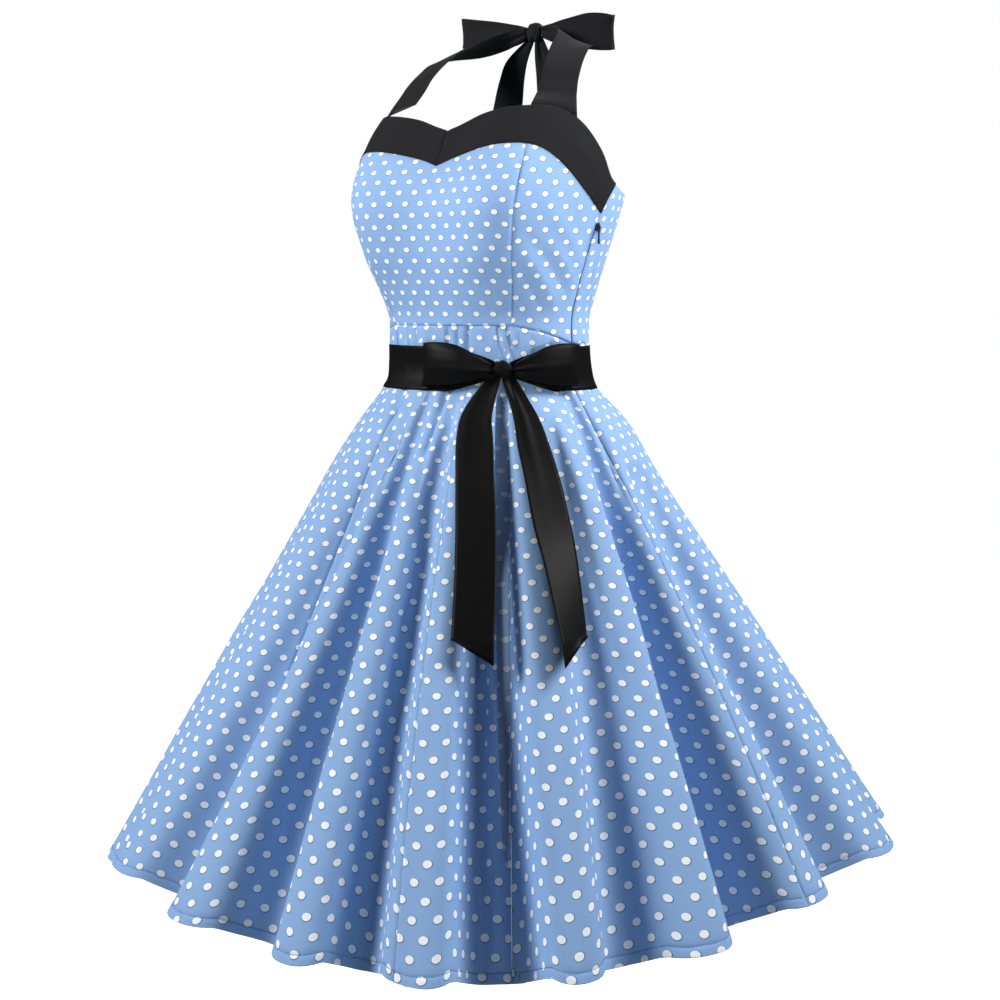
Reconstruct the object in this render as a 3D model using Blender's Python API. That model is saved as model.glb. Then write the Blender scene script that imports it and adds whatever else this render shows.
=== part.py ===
# Halter dress with a fitted bodice, a full gored skirt and a ribbon sash tied in front.
# Metres, +Z up. The front of the dress faces -Y and the wearer's left is +X.
# The origin is the middle of the wearer's waist, level with the middle of the sash.
# A place on the dress is given by its turn, in degrees round from centre front
# towards the wearer's left, and by its height, or its share of the way down the skirt.

import bmesh
import bpy
import numpy as np

# ---- driving dimensions ----
UPWARD = np.array((0.0, 0.0, 1.0))
SEAM_GAP = 0.0003  # between neighbouring pieces
COTTON = 0.0015  # cloth wall
RIBBON = 0.0011  # satin and strap wall
BAND_CLOTH = 0.0012
RIBBON_COLUMNS = 5  # lines of points across a ribbon

WAIST_HALF_WIDTH = 0.1155
WAIST_HALF_DEPTH = 0.0880

SWELL_FROM = 0.10  # share of the drop where the skirt starts to round out
HIP_SHARE = 0.165  # share of the drop where it stands over the hip
HIP_SPREAD = 0.075
SKIRT_STEP = 2.1  # degrees between columns
SEAM_TURNS = (24.0, 38.3, 77.0, 128.0)  # skirt seams on each side, at the hem
SEAM_TURNS_WAIST = (17.0, 38.0, 82.0, 130.0)  # and at the waist

SASH_ROWS = (0.0225, -0.0030, -0.0225)  # heights of its upper edge, middle and lower edge
SASH_PINCH = 0.30  # share of its height left where it enters the knot
KNOT_TURN = 37.5
KNOT_SIZE = (0.021, 0.012, 0.016)  # along the sash, out from it, and high
KNOT_HEIGHT = -0.001
KNOT_OUT = 0.0037  # from the skirt to the back of the knot
LOOP_FOLLOWS = 0.0076  # nearer the skirt than this a loop follows it
LOOP_STANDS = 0.0130  # and further out than this it stands straight

NAPE = (0.0, 0.0880, 0.3610)
NAPE_KNOT_SIZE = (0.019, 0.013, 0.020)
NAPE_KNOT_OUT = 0.0030

ZIP_TAPE = 0.0080  # width of the zip's tape behind the side seam
ZIP_TAPE_THICK = 0.0010
ZIP_DOWN = 0.24  # share of the skirt's drop that the zip reaches
SLIDER_HEIGHT = 0.1430
SLIDER_SIZE = (0.0050, 0.0085, 0.0018)  # across the seam, along it, out from it
ARCH_SIZE = (0.0018, 0.0037, 0.0029)  # the slider's bridge that holds the pull
ARCH_HOLE = 0.00105  # radius of the eye through the bridge
PULL_THICK = 0.0010
PULL_WINDOW = (0.0026, 0.0005, 0.0029)  # width of the pull's eye, and where it runs below the hinge

# ---- shape tables ----
# Sections of the bodice. bust is how far each cup stands out in front of the ellipse,
# and square how far the back's two corners stand out of it.
BODICE = {
    "height": (0.015, 0.045, 0.080, 0.115, 0.150, 0.180, 0.205, 0.230, 0.255, 0.280),
    "half_width": (0.1155, 0.1155, 0.1240, 0.1350, 0.1452, 0.1510, 0.1515, 0.1469, 0.1350, 0.1150),
    "front": (0.0880, 0.0880, 0.0950, 0.1000, 0.1000, 0.0940, 0.0832, 0.0706, 0.0580, 0.0440),
    "back": (0.0880, 0.0880, 0.0905, 0.0990, 0.1070, 0.1140, 0.1170, 0.1170, 0.1170, 0.1170),
    "square": (0.000, 0.000, 0.010, 0.012, 0.020, 0.040, 0.050, 0.050, 0.050, 0.050),
    "bust": (0.0, 0.0, 0.007, 0.022, 0.0325, 0.0358, 0.0328, 0.0275, 0.0226, 0.0180),
}
CUP_TURN = 36.0
CUP_SPREAD = 25.0

# Heights of the waist seam, the lower edge of the black band and the top edge.
EDGES = {
    "turn": (0, 6, 16, 28, 40, 50, 60, 70, 80, 90, 100, 125, 150, 180),
    "waist": (
        0.0437, 0.0437, 0.0437, 0.0437, 0.0437, 0.0405, 0.0365,
        0.0315, 0.0260, 0.0250, 0.0250, 0.0260, 0.0275, 0.0280,
    ),
    "band": (
        0.2043, 0.2100, 0.2165, 0.2216, 0.2229, 0.2180, 0.2015,
        0.1800, 0.1625, 0.1500, 0.1460, 0.1400, 0.1330, 0.1300,
    ),
    "top": (
        0.2406, 0.2452, 0.2535, 0.2585, 0.2608, 0.2614, 0.2583,
        0.2459, 0.2199, 0.1925, 0.1835, 0.1765, 0.1685, 0.1630,
    ),
}
# Bodice seams, by share of the way from the waist to the band and on to the top edge.
SEAMS = {
    "share": (0.0, 0.35, 0.75, 1.0, 1.5, 2.0),
    "princess": (40.5, 43.5, 44.0, 43.5, 43.0, 42.5),
    "side": (82.0, 81.5, 82.5, 84.5, 89.0, 95.0),
}

# How the skirt widens: share of its drop against share of its spread.
FLARE = {
    "drop": (0.0, 0.060, 0.095, 0.119, 0.170, 0.226, 0.355, 0.490, 0.625, 0.760, 0.880, 1.0),
    "spread": (0.0, 0.000, 0.008, 0.030, 0.098, 0.166, 0.303, 0.449, 0.594, 0.741, 0.869, 1.0),
}
SKIRT_SHARES = (
    0.0, 0.045, 0.083, 0.105, 0.128, 0.175, 0.240,
    0.330, 0.430, 0.540, 0.655, 0.770, 0.885, 1.0,
)

# The hem without its folds: reach from the middle, and height.
HEM = {
    "turn": (-180, -135, -90, -55, -20, 10, 38, 62, 80, 102, 140, 180),
    "reach": (0.418, 0.414, 0.408, 0.401, 0.386, 0.404, 0.430, 0.425, 0.425, 0.422, 0.416, 0.418),
    "height": (
        -0.503, -0.505, -0.508, -0.519, -0.513, -0.508,
        -0.503, -0.493, -0.479, -0.487, -0.495, -0.503,
    ),
    "swell": (0.006, 0.004, 0.004, 0.004, 0.003, 0.002, 0.004, 0.006, 0.007, 0.008, 0.007, 0.006),
    "hip": (0.004, 0.002, 0.000, 0.000, 0.000, 0.000, 0.000, 0.001, 0.003, 0.006, 0.007, 0.004),
}
# The folds, in order round the hem. A ridge stands out and the valley after it lies in.
# A lean is how far round a line starts from where it ends at the hem; begins is its share.
FOLDS = (
    # ridge, out, lean, valley, in, lean, begins
    (-166.0, 0.022, -2, -156.5, 0.030, -2, 0.16),
    (-147.0, 0.020, 2, -137.5, 0.032, 2, 0.20),
    (-128.0, 0.023, 1, -118.0, 0.030, 1, 0.14),
    (-108.0, 0.020, -2, -98.0, 0.034, -2, 0.18),
    (-88.0, 0.018, 1, -75.0, 0.028, 1, 0.15),
    (-64.0, 0.010, 2, -56.0, -0.004, 1, 0.20),
    (-44.0, 0.018, 0, -24.0, 0.027, 2, 0.14),
    (-16.0, 0.016, 3, -0.5, 0.034, -12, 0.13),
    (11.5, 0.018, -9, 21.0, 0.032, -13, 0.12),
    (28.5, 0.019, -8, 35.2, 0.046, -6, 0.13),
    (36.8, -0.041, -6, 38.3, 0.046, -5, 0.13),
    (45.0, 0.019, -3, 51.5, 0.014, 6, 0.14),
    (63.2, 0.019, -1, 70.0, 0.034, -2, 0.12),
    (78.5, 0.014, 1, 88.0, 0.030, 0, 0.14),
    (102.0, 0.020, 2, 112.0, 0.000, 1, 0.14),
    (121.0, 0.018, -1, 132.0, 0.028, -1, 0.18),
    (141.0, 0.019, 2, 149.0, 0.030, 2, 0.15),
    (157.0, 0.021, 1, 165.0, 0.028, 1, 0.20),
    (173.0, 0.020, 0, 183.5, 0.028, 0, 0.16),
)
FOLD_CREST = 0.45  # widens the ridges and narrows the valleys
FOLD_STEEP = 0.25  # steepens the flanks between them
RIDGE_GROWTH = 1.15  # how late the ridges and the valleys reach their full depth
VALLEY_GROWTH = 0.82
HEM_DROP = 0.34  # how much lower the hem hangs for each metre that a valley lies in
RIDGE_LINE = (0.022, 0.14)  # how far out a ribbon lies over the ridges at the hem, and where it begins

# Loops of the front bow: turn from the knot, distance out from the dress, height, width.
SASH_LOOP_RIGHT = {
    "turn": (6.0, 13.0, 22.0, 33.0, 40.0, 42.5, 41.0, 33.0, 20.0, 11.0, 6.0),
    "out": (0.0110, 0.0165, 0.0205, 0.0195, 0.0155, 0.0100, 0.0058, 0.0045, 0.0062, 0.0076, 0.0080),
    "height": (0.000, 0.001, 0.001, 0.001, 0.001, 0.001, 0.001, 0.001, 0.000, -0.001, -0.001),
    "width": (0.012, 0.026, 0.037, 0.042, 0.043, 0.043, 0.043, 0.042, 0.034, 0.022, 0.012),
}
SASH_LOOP_LEFT = {
    "turn": (6.0, 13.0, 22.0, 32.0, 40.0, 44.5, 43.5, 33.0, 20.0, 11.0, 6.0),
    "out": (0.0110, 0.0170, 0.0215, 0.0215, 0.0175, 0.0110, 0.0058, 0.0045, 0.0062, 0.0076, 0.0080),
    "height": (0.000, 0.001, 0.002, 0.003, 0.002, 0.002, 0.001, 0.001, 0.000, -0.001, -0.001),
    "width": (0.012, 0.025, 0.036, 0.041, 0.042, 0.041, 0.041, 0.041, 0.034, 0.022, 0.012),
}
# Sash tails: turn and height of the middle line, width, and slant of the cut end.
SASH_TAIL_RIGHT = {
    "height": (-0.0100, -0.030, -0.049, -0.063, -0.103, -0.149, -0.201, -0.253),
    "turn": (35.0, 30.8, 28.6, 27.8, 28.6, 29.8, 30.5, 30.8),
    "width": (0.012, 0.026, 0.033, 0.037, 0.040, 0.041, 0.041, 0.041),
    "out": (0.0035, 0.0035, 0.0045, 0.0050, 0.0050, 0.0050, 0.0050, 0.0050),
    "twist": (0, 0, 0, 0, 0, 0, 0, 0),
}
SASH_TAIL_LEFT = {
    "height": (-0.0100, -0.031, -0.047, -0.073, -0.099, -0.139, -0.184, -0.251),
    "turn": (43.0, 48.0, 50.0, 50.4, 50.2, 50.2, 50.0, 49.6),
    "width": (0.012, 0.025, 0.033, 0.037, 0.038, 0.039, 0.040, 0.040),
    "out": (0.0035, 0.0035, 0.0045, 0.0050, 0.0055, 0.0075, 0.0120, 0.0170),
    "twist": (0, 0, 0, 0, -3, -10, -29, -47),
}
TAIL_SLANT = 0.012
TAIL_ROWS = 14

# Halter strap on the wearer's left, by its inner and outer edges, from the cup to the nape.
STRAP = {
    "inner_x": (0.0780, 0.0743, 0.0710, 0.0655, 0.0590, 0.0510, 0.0400, 0.0240, 0.0099),
    "inner_y": (-0.0240, -0.0129, -0.0020, 0.0140, 0.0340, 0.0560, 0.0730, 0.0835, 0.0878),
    "inner_z": (0.2785, 0.2928, 0.3080, 0.3235, 0.3380, 0.3510, 0.3600, 0.3655, 0.3665),
    "outer_x": (0.1185, 0.1141, 0.1110, 0.1070, 0.1030, 0.0920, 0.0640, 0.0340, 0.0099),
    "outer_y": (-0.0130, -0.0035, 0.0070, 0.0210, 0.0370, 0.0600, 0.0800, 0.0865, 0.0878),
    "outer_z": (0.2755, 0.2890, 0.3030, 0.3170, 0.3290, 0.3350, 0.3380, 0.3450, 0.3550),
}
STRAP_FROM = 50.5  # turns of the strap's two edges at the top of the cup
STRAP_TO = 68.0

# Loops of the nape bow on the wearer's left: sideways, out behind the neck, height, width.
NAPE_LOOP_LEFT = {
    "side": (0.0099, 0.028, 0.052, 0.078, 0.093, 0.097, 0.094, 0.075, 0.050, 0.026, 0.0099),
    "out": (0.0060, 0.0120, 0.0165, 0.0160, 0.0120, 0.0075, 0.0035, 0.0025, 0.0025, 0.0025, 0.0025),
    "height": (0.000, 0.001, 0.001, -0.003, -0.007, -0.008, -0.009, -0.008, -0.005, -0.002, 0.000),
    "width": (0.012, 0.022, 0.031, 0.036, 0.036, 0.036, 0.036, 0.034, 0.029, 0.020, 0.012),
}
NAPE_LOOP_RIGHT = {
    "side": (0.0099, 0.030, 0.056, 0.080, 0.096, 0.100, 0.097, 0.080, 0.052, 0.028, 0.0099),
    "out": (0.0060, 0.0120, 0.0165, 0.0160, 0.0120, 0.0075, 0.0035, 0.0025, 0.0025, 0.0025, 0.0025),
    "height": (0.000, 0.001, 0.003, 0.006, 0.008, 0.009, 0.008, 0.006, 0.003, 0.001, 0.000),
    "width": (0.012, 0.022, 0.029, 0.032, 0.033, 0.033, 0.033, 0.031, 0.027, 0.020, 0.012),
}
# Nape tails: sideways, out and height of the middle line, and width.
NAPE_TAIL_LEFT = {
    "height": (-0.0104, -0.028, -0.048, -0.070, -0.095, -0.125, -0.150),
    "side": (0.0045, 0.0070, 0.0105, 0.0130, 0.0140, 0.0155, 0.0170),
    "out": (0.0040, 0.0075, 0.0100, 0.0110, 0.0120, 0.0150, 0.0190),
    "width": (0.010, 0.020, 0.027, 0.031, 0.033, 0.034, 0.034),
}
NAPE_TAIL_RIGHT = {
    "height": (-0.0104, -0.028, -0.048, -0.070, -0.095, -0.125, -0.150),
    "side": (-0.0068, -0.0265, -0.0355, -0.0405, -0.0455, -0.0500, -0.0530),
    "out": (0.0040, 0.0075, 0.0100, 0.0110, 0.0120, 0.0150, 0.0190),
    "width": (0.010, 0.028, 0.034, 0.038, 0.039, 0.038, 0.038),
}

# Rows of the bodice below the band and on it, and columns of its panels.
LOWER_SHARES = (0.0, 0.15, 0.30, 0.45, 0.60, 0.74, 0.87, 1.0)
UPPER_SHARES = (1.34, 1.67, 2.0)
ALL_SHARES = np.array(LOWER_SHARES + UPPER_SHARES)
FRONT_STEPS = 12  # columns between the two princess seams
SIDE_STEPS = 8
BACK_STEPS = 26

# Skirt pieces, from the right side back round to the back.
GORE_NAMES = (
    "skirt_side_back_right",
    "skirt_side_front_right",
    "skirt_inset_right",
    "skirt_front",
    "skirt_inset_left",
    "skirt_side_front_left",
    "skirt_side_back_left",
    "skirt_back",
)

# The zip's pull: distance below its hinge, and half width.
PULL = {
    "below": (-0.0005, 0.0000, 0.0026, 0.0036, 0.0055, 0.0100, 0.0140, 0.0158, 0.0165),
    "half": (0.0019, 0.0021, 0.0021, 0.0019, 0.0009, 0.0010, 0.0014, 0.0012, 0.0006),
}

COLOURS = {
    "dotted_cotton": ((0.29, 0.46, 0.79), 0.80, 0.0),
    "black_cotton": ((0.020, 0.020, 0.023), 0.85, 0.0),
    "black_satin": ((0.010, 0.010, 0.010), 0.35, 0.0),
    "navy_tape": ((0.012, 0.022, 0.050), 0.85, 0.0),
    "zip_metal": ((0.012, 0.022, 0.050), 0.45, 0.6),
}


# ---- reading the tables ----
def read(table, key, column, at):
    # A smooth curve through a column, flat where the column turns back.
    x = np.asarray(table[key], float)
    y = np.asarray(table[column], float)
    at = np.clip(np.asarray(at, float), x[0], x[-1])
    step = np.diff(x)
    slope = np.diff(y) / step
    mean = (slope[:-1] * step[1:] + slope[1:] * step[:-1]) / (step[1:] + step[:-1])
    inner = np.where(slope[:-1] * slope[1:] > 0, mean, 0.0)
    tangent = np.concatenate([[slope[0]], inner, [slope[-1]]])
    i = np.clip(np.searchsorted(x, at, side="right") - 1, 0, len(x) - 2)
    w = (at - x[i]) / step[i]
    a = (2 * w**3 - 3 * w**2 + 1) * y[i] + (w**3 - 2 * w**2 + w) * step[i] * tangent[i]
    b = (3 * w**2 - 2 * w**3) * y[i + 1] + (w**3 - w**2) * step[i] * tangent[i + 1]
    return a + b


def unit(vectors):
    return vectors / np.maximum(np.linalg.norm(vectors, axis=-1, keepdims=True), 1e-12)


def wrapped(turn):
    # The same turn, counted from -180 to 180.
    return (turn + 180) % 360 - 180


def normals(point, turn, level):
    # Outward directions of a surface given by turn and level.
    small = 1e-3
    across = point(turn + 0.05, level) - point(turn - 0.05, level)
    along = point(turn, np.minimum(level + small, 1)) - point(turn, np.maximum(level - small, 0))
    found = unit(np.cross(across, along))
    place = point(turn, level)
    inward = (found * (place * (1, 1, 0))).sum(-1, keepdims=True) < 0
    return np.where(inward, -found, found)


# ---- the dress's two surfaces ----
def bodice_point(turn, height):
    turn, height = np.broadcast_arrays(wrapped(np.asarray(turn, float)), np.asarray(height, float))
    angle = np.radians(turn)
    front = read(BODICE, "height", "front", height)
    back = read(BODICE, "height", "back", height)
    bust = read(BODICE, "height", "bust", height)
    cups = sum(np.exp(-(((turn - side * CUP_TURN) / CUP_SPREAD) ** 2)) for side in (-1, 1))
    depth = np.where(np.cos(angle) > 0, front, back)
    square = read(BODICE, "height", "square", height) * np.sin(2 * angle) ** 2
    fuller = np.where(np.cos(angle) > 0, 1, 1 + square)
    x = read(BODICE, "height", "half_width", height) * fuller * np.sin(angle)
    y = -depth * fuller * np.cos(angle) - bust * cups
    return np.stack([x, y, height], -1)


def edge(column, turn):
    return read(EDGES, "turn", column, np.abs(wrapped(turn)))


def bodice_height(turn, share):
    # Share 0 is the waist seam, 1 the lower edge of the band and 2 the top edge.
    waist, band, top = (edge(column, turn) for column in ("waist", "band", "top"))
    share = np.asarray(share, float)
    return np.where(share < 1, waist + (band - waist) * share, band + (top - band) * (share - 1))


def grown(share, begins, power):
    return np.clip((share - begins) / (1 - begins), 0, 1) ** power


def wave(turn, share):
    # The folds: broad ridges with a steep drop into the narrower valleys between them.
    nodes = []
    for ridge, out, ridge_lean, valley, into, valley_lean, begins in FOLDS:
        nodes.append((ridge + ridge_lean * (1 - share), out * grown(share, begins, RIDGE_GROWTH)))
        nodes.append((valley + valley_lean * (1 - share), -into * grown(share, begins, VALLEY_GROWTH)))
    at = np.array([n[0] for n in nodes])
    value = np.array([n[1] for n in nodes])
    at = np.concatenate([[at[-1] - 360], at, [at[0] + 360]])
    value = np.concatenate([[value[-1]], value, [value[0]]])
    turn = (np.asarray(turn, float) - at[0]) % 360 + at[0]
    i = np.clip(np.searchsorted(at, turn, side="right") - 1, 0, len(at) - 2)
    w = (turn - at[i]) / (at[i + 1] - at[i])
    from_ridge = i % 2 == 1
    swing = np.linspace(0, np.pi, 90)
    place = (swing + FOLD_CREST * np.sin(swing) + FOLD_STEEP * np.sin(2 * swing)) / np.pi
    w = (1 - np.cos(np.interp(np.where(from_ridge, w, 1 - w), place, swing))) / 2
    return value[i] + (value[i + 1] - value[i]) * np.where(from_ridge, w, 1 - w)


def swell(turn, share):
    # The skirt's own roundness between the sash and the hem.
    below_sash = np.clip((share - SWELL_FROM) / (1 - SWELL_FROM), 0, 1)
    round_out = read(HEM, "turn", "swell", turn) * 2.6 * below_sash**0.5 * (1 - below_sash)
    hip = np.exp(-(((share - HIP_SHARE) / HIP_SPREAD) ** 2)) - np.exp(-((HIP_SHARE / HIP_SPREAD) ** 2))
    return round_out + read(HEM, "turn", "hip", turn) * np.maximum(hip, 0)


def skirt_point(turn, share, folded=True):
    # With folded off it gives the line over the ridges, where a ribbon bridges the valleys.
    turn, share = np.broadcast_arrays(np.asarray(turn, float), np.asarray(share, float))
    angle = np.radians(turn)
    around = wrapped(turn)
    spread = read(FLARE, "drop", "spread", share)
    reach = read(HEM, "turn", "reach", around)
    folds = np.array(RIDGE_LINE[0] * grown(share, RIDGE_LINE[1], RIDGE_GROWTH))
    for level in np.unique(share) if folded else ():
        here = share == level
        folds[here] = wave(turn[here], level)
    out = folds + swell(around, share)
    x = (WAIST_HALF_WIDTH + (reach - WAIST_HALF_WIDTH) * spread + out) * np.sin(angle)
    y = -(WAIST_HALF_DEPTH + (reach - WAIST_HALF_DEPTH) * spread + out) * np.cos(angle)
    top = edge("waist", around) - SEAM_GAP
    hem = read(HEM, "turn", "height", around) - HEM_DROP * np.maximum(-folds, 0)
    z = top + (hem - top) * share
    return np.stack([x, y, z], -1)


# ---- making solids ----
def material(name):
    found = bpy.data.materials.get(name)
    if found:
        return found
    colour, rough, metal = COLOURS[name]
    made = bpy.data.materials.new(name)
    made.use_nodes = True
    shader = made.node_tree.nodes["Principled BSDF"]
    shader.inputs["Base Color"].default_value = (*colour, 1)
    shader.inputs["Roughness"].default_value = rough
    shader.inputs["Metallic"].default_value = metal
    made.diffuse_color = (*colour, 1)
    return made


def finish(name, bm, finish_name, smooth=True):
    # One closed body whose faces point outwards.
    bm.normal_update()
    if bm.calc_volume(signed=True) < 0:
        bmesh.ops.reverse_faces(bm, faces=bm.faces)
    mesh = bpy.data.meshes.new(name)
    bm.to_mesh(mesh)
    bm.free()
    if smooth:
        mesh.shade_smooth()
        mesh.set_sharp_from_angle(angle=0.9)
    made = bpy.data.objects.new(name, mesh)
    made.data.materials.append(material(finish_name))
    bpy.context.scene.collection.objects.link(made)
    return made


def wall(name, outer, inner, finish_name):
    # A sheet between two grids of points, closed along its four edges.
    rows, columns = outer.shape[:2]
    bm = bmesh.new()
    front = [[bm.verts.new(p) for p in row] for row in outer]
    back = [[bm.verts.new(p) for p in row] for row in inner]
    for i in range(rows - 1):
        for j in range(columns - 1):
            bm.faces.new((front[i][j], front[i][j + 1], front[i + 1][j + 1], front[i + 1][j]))
            bm.faces.new((back[i][j], back[i + 1][j], back[i + 1][j + 1], back[i][j + 1]))
    rim = [(0, j) for j in range(columns)] + [(i, columns - 1) for i in range(1, rows)]
    rim += [(rows - 1, j) for j in range(columns - 2, -1, -1)] + [(i, 0) for i in range(rows - 2, 0, -1)]
    for (i, j), (k, m) in zip(rim, rim[1:] + rim[:1]):
        bm.faces.new((front[k][m], front[i][j], back[i][j], back[k][m]))
    return finish(name, bm, finish_name)


def grid_normals(points):
    # Directions square to a grid of points, from its rows and columns.
    along = np.gradient(points, axis=0)
    across = np.gradient(points, axis=1)
    return unit(np.cross(across, along))


def ribbon(name, points, finish_name="black_satin"):
    # A ribbon through a grid of points on its middle.
    facing = grid_normals(points)
    half = RIBBON / 2
    wall(name, points + facing * half, points - facing * half, finish_name)


def strip(name, middle, across, widths, finish_name):
    # A ribbon along a middle line: across is the direction of its width.
    offsets = np.linspace(-0.5, 0.5, RIBBON_COLUMNS)
    ribbon(name, middle[:, None] + across[:, None] * (widths[:, None] * offsets)[..., None], finish_name)


def seam_between(first, second, steps):
    # Columns of turns from one seam to the next, stopped half a gap short at both.
    share = np.linspace(0, 1, steps + 1)
    return first[:, None] + (second - first)[:, None] * share


def panel(name, turns, shares):
    # A bodice panel from rows of turns, its inside one wall in.
    heights = bodice_height(turns, shares[:, None])
    outer = bodice_point(turns, heights)
    facing = normals(bodice_point, turns, heights)
    return wall(name, outer, outer - facing * COTTON, "dotted_cotton")


# ---- bodice ----


def half_gap(turns, shares, side):
    # Half a seam gap in degrees, at each row.
    place = bodice_point(turns, bodice_height(turns, shares))
    return side * np.degrees(SEAM_GAP / 2 / np.hypot(place[:, 0], place[:, 1])) * 1.15


def bodice_seam(column, shares, mirror):
    return mirror * read(SEAMS, "share", column, shares)


def columns_between(first, second, shares, steps):
    first = first + half_gap(first, shares, 1)
    second = second - half_gap(second, shares, 1)
    return seam_between(first, second, steps)


def bodice():
    shares = ALL_SHARES
    princess = {side: bodice_seam("princess", shares, side) for side in (-1, 1)}
    sides = {side: bodice_seam("side", shares, side) for side in (-1, 1)}
    centre = columns_between(princess[-1], princess[1], shares, FRONT_STEPS)
    panel("bodice_front_center", centre, shares)
    left = columns_between(princess[1], sides[1], shares, SIDE_STEPS)
    panel("bodice_side_front_left", left, shares)
    right = columns_between(sides[-1], princess[-1], shares, SIDE_STEPS)
    panel("bodice_side_front_right", right, shares)
    panel("bodice_back", columns_between(sides[1], sides[-1] + 360, shares, BACK_STEPS), shares)
    return centre, left, right


def band_half(name, turns, shares):
    heights = bodice_height(turns, shares[:, None])
    base = bodice_point(turns, heights)
    facing = normals(bodice_point, turns, heights)
    wall(name, base + facing * (SEAM_GAP + BAND_CLOTH), base + facing * SEAM_GAP, "black_cotton")


def bust_band(centre, left, right):
    # The band lies on the panels' upper rows, with a seam at the V in front.
    rows = ALL_SHARES >= 1
    shares = ALL_SHARES[rows]
    middle = FRONT_STEPS // 2
    apart = np.degrees(SEAM_GAP / 2 / 0.085)
    left_half = centre[rows][:, middle:].copy()
    left_half[:, 0] = apart
    band_half("bust_band_left", np.concatenate([left_half, left[rows]], axis=1), shares)
    right_half = centre[rows][:, : middle + 1].copy()
    right_half[:, -1] = -apart
    band_half("bust_band_right", np.concatenate([right[rows], right_half], axis=1), shares)


# ---- skirt ----
def skirt_seams():
    # Each seam's turn at the hem and at the waist, once round and back to the first.
    hem = [-t for t in reversed(SEAM_TURNS)] + list(SEAM_TURNS) + [360 - SEAM_TURNS[-1]]
    waist = [-t for t in reversed(SEAM_TURNS_WAIST)] + list(SEAM_TURNS_WAIST) + [360 - SEAM_TURNS_WAIST[-1]]
    return list(zip(hem, waist))


def skirt():
    shares = np.array(SKIRT_SHARES)
    seams = skirt_seams()
    all_columns = []
    for name, (hem_a, waist_a), (hem_b, waist_b) in zip(GORE_NAMES, seams, seams[1:]):
        first = waist_a + (hem_a - waist_a) * shares
        second = waist_b + (hem_b - waist_b) * shares
        for line, side in ((first, 1), (second, -1)):
            place = skirt_point(line, shares)
            line += side * np.degrees(SEAM_GAP / 2 / np.hypot(place[:, 0], place[:, 1])) * 1.2
        steps = int(np.ceil((hem_b - hem_a) / SKIRT_STEP))
        turns = seam_between(first, second, steps)
        level = np.repeat(shares[:, None], turns.shape[1], axis=1)
        outer = skirt_point(turns, level)
        facing = normals(skirt_point, turns, level)
        wall(name, outer, outer - facing * COTTON, "dotted_cotton")
        all_columns.append(turns)
    return np.concatenate(all_columns, axis=1)


# ---- sash and its bow ----
def sash(columns):
    # The ribbon lies on the skirt's own columns, from the knot all the way round to it.
    shares = np.array(SKIRT_SHARES)
    facets = skirt_point(columns, shares[:, None])
    facing = normals(skirt_point, columns, np.repeat(shares[:, None], columns.shape[1], axis=1))
    top_turns = columns[2]
    start = np.argmin(np.abs(top_turns - KNOT_TURN)) + 1
    order = np.roll(np.arange(columns.shape[1]), -start)
    outer, inner = [], []
    for c in order[::2]:
        away = abs(wrapped(top_turns[c] - KNOT_TURN))
        full = SASH_PINCH + (1 - SASH_PINCH) * np.clip((away - 4) / 24, 0, 1) ** 0.8
        heights = KNOT_HEIGHT + (np.array(SASH_ROWS) - KNOT_HEIGHT) * full
        z = facets[:, c, 2]
        place = np.stack([np.interp(-heights, -z, facets[:, c, k]) for k in range(3)], -1)
        out = unit(np.stack([np.interp(-heights, -z, facing[:, c, k]) for k in range(3)], -1))
        outer.append(place + out * (SEAM_GAP + RIBBON))
        inner.append(place + out * SEAM_GAP)
    wall("sash_band", np.array(outer).transpose(1, 0, 2), np.array(inner).transpose(1, 0, 2), "black_satin")


def on_skirt(turn, height, folded=True):
    # The skirt's place at a turn and a height.
    top = edge("waist", turn)
    return skirt_point(turn, (top - height) / (top - read(HEM, "turn", "height", turn)), folded)


def waist_frame(turn, height, folded=True):
    # The skirt's place with the level directions round it and out from it.
    turn, height = np.broadcast_arrays(np.asarray(turn, float), np.asarray(height, float))
    place = on_skirt(turn, height, folded)
    along = unit((on_skirt(turn + 1, height, folded) - on_skirt(turn - 1, height, folded)) * (1, 1, 0))
    out = np.stack([along[..., 1], -along[..., 0], np.zeros(turn.shape)], -1)
    return place, along, out


def knot(name, centre, along, up, out, size, finish_name):
    # A rounded block turned to lie along its ribbon.
    bm = bmesh.new()
    bmesh.ops.create_cube(bm, size=1.0)
    bmesh.ops.scale(bm, vec=size, verts=bm.verts)
    bmesh.ops.bevel(
        bm, geom=bm.edges, offset=min(size) * 0.30, segments=2, profile=0.5, affect="EDGES"
    )
    for v in bm.verts:
        v.co = centre + along * v.co.x + out * v.co.y + up * v.co.z
    return finish(name, bm, finish_name)


def sash_loop(name, table, side):
    # The outer leaf stands straight and the inner leaf follows the sash under it.
    step = np.linspace(0, 1, 19)
    table = {"step": np.linspace(0, 1, len(table["turn"])), **table}
    turn, away, height, width = (read(table, "step", c, step) for c in ("turn", "out", "height", "width"))
    turn = KNOT_TURN + side * turn
    place, _, out = waist_frame(turn, KNOT_HEIGHT + height)
    offsets = np.linspace(-0.5, 0.5, RIBBON_COLUMNS) * width[:, None]
    straight = place[:, None] + offsets[..., None] * UPWARD
    curved = on_skirt(np.repeat(turn[:, None], RIBBON_COLUMNS, axis=1), straight[..., 2])
    share = np.clip((away - LOOP_FOLLOWS) / (LOOP_STANDS - LOOP_FOLLOWS), 0, 1)[:, None, None]
    points = curved * (1 - share) + straight * share + (out * away[:, None])[:, None]
    ribbon(name, points)


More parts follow.
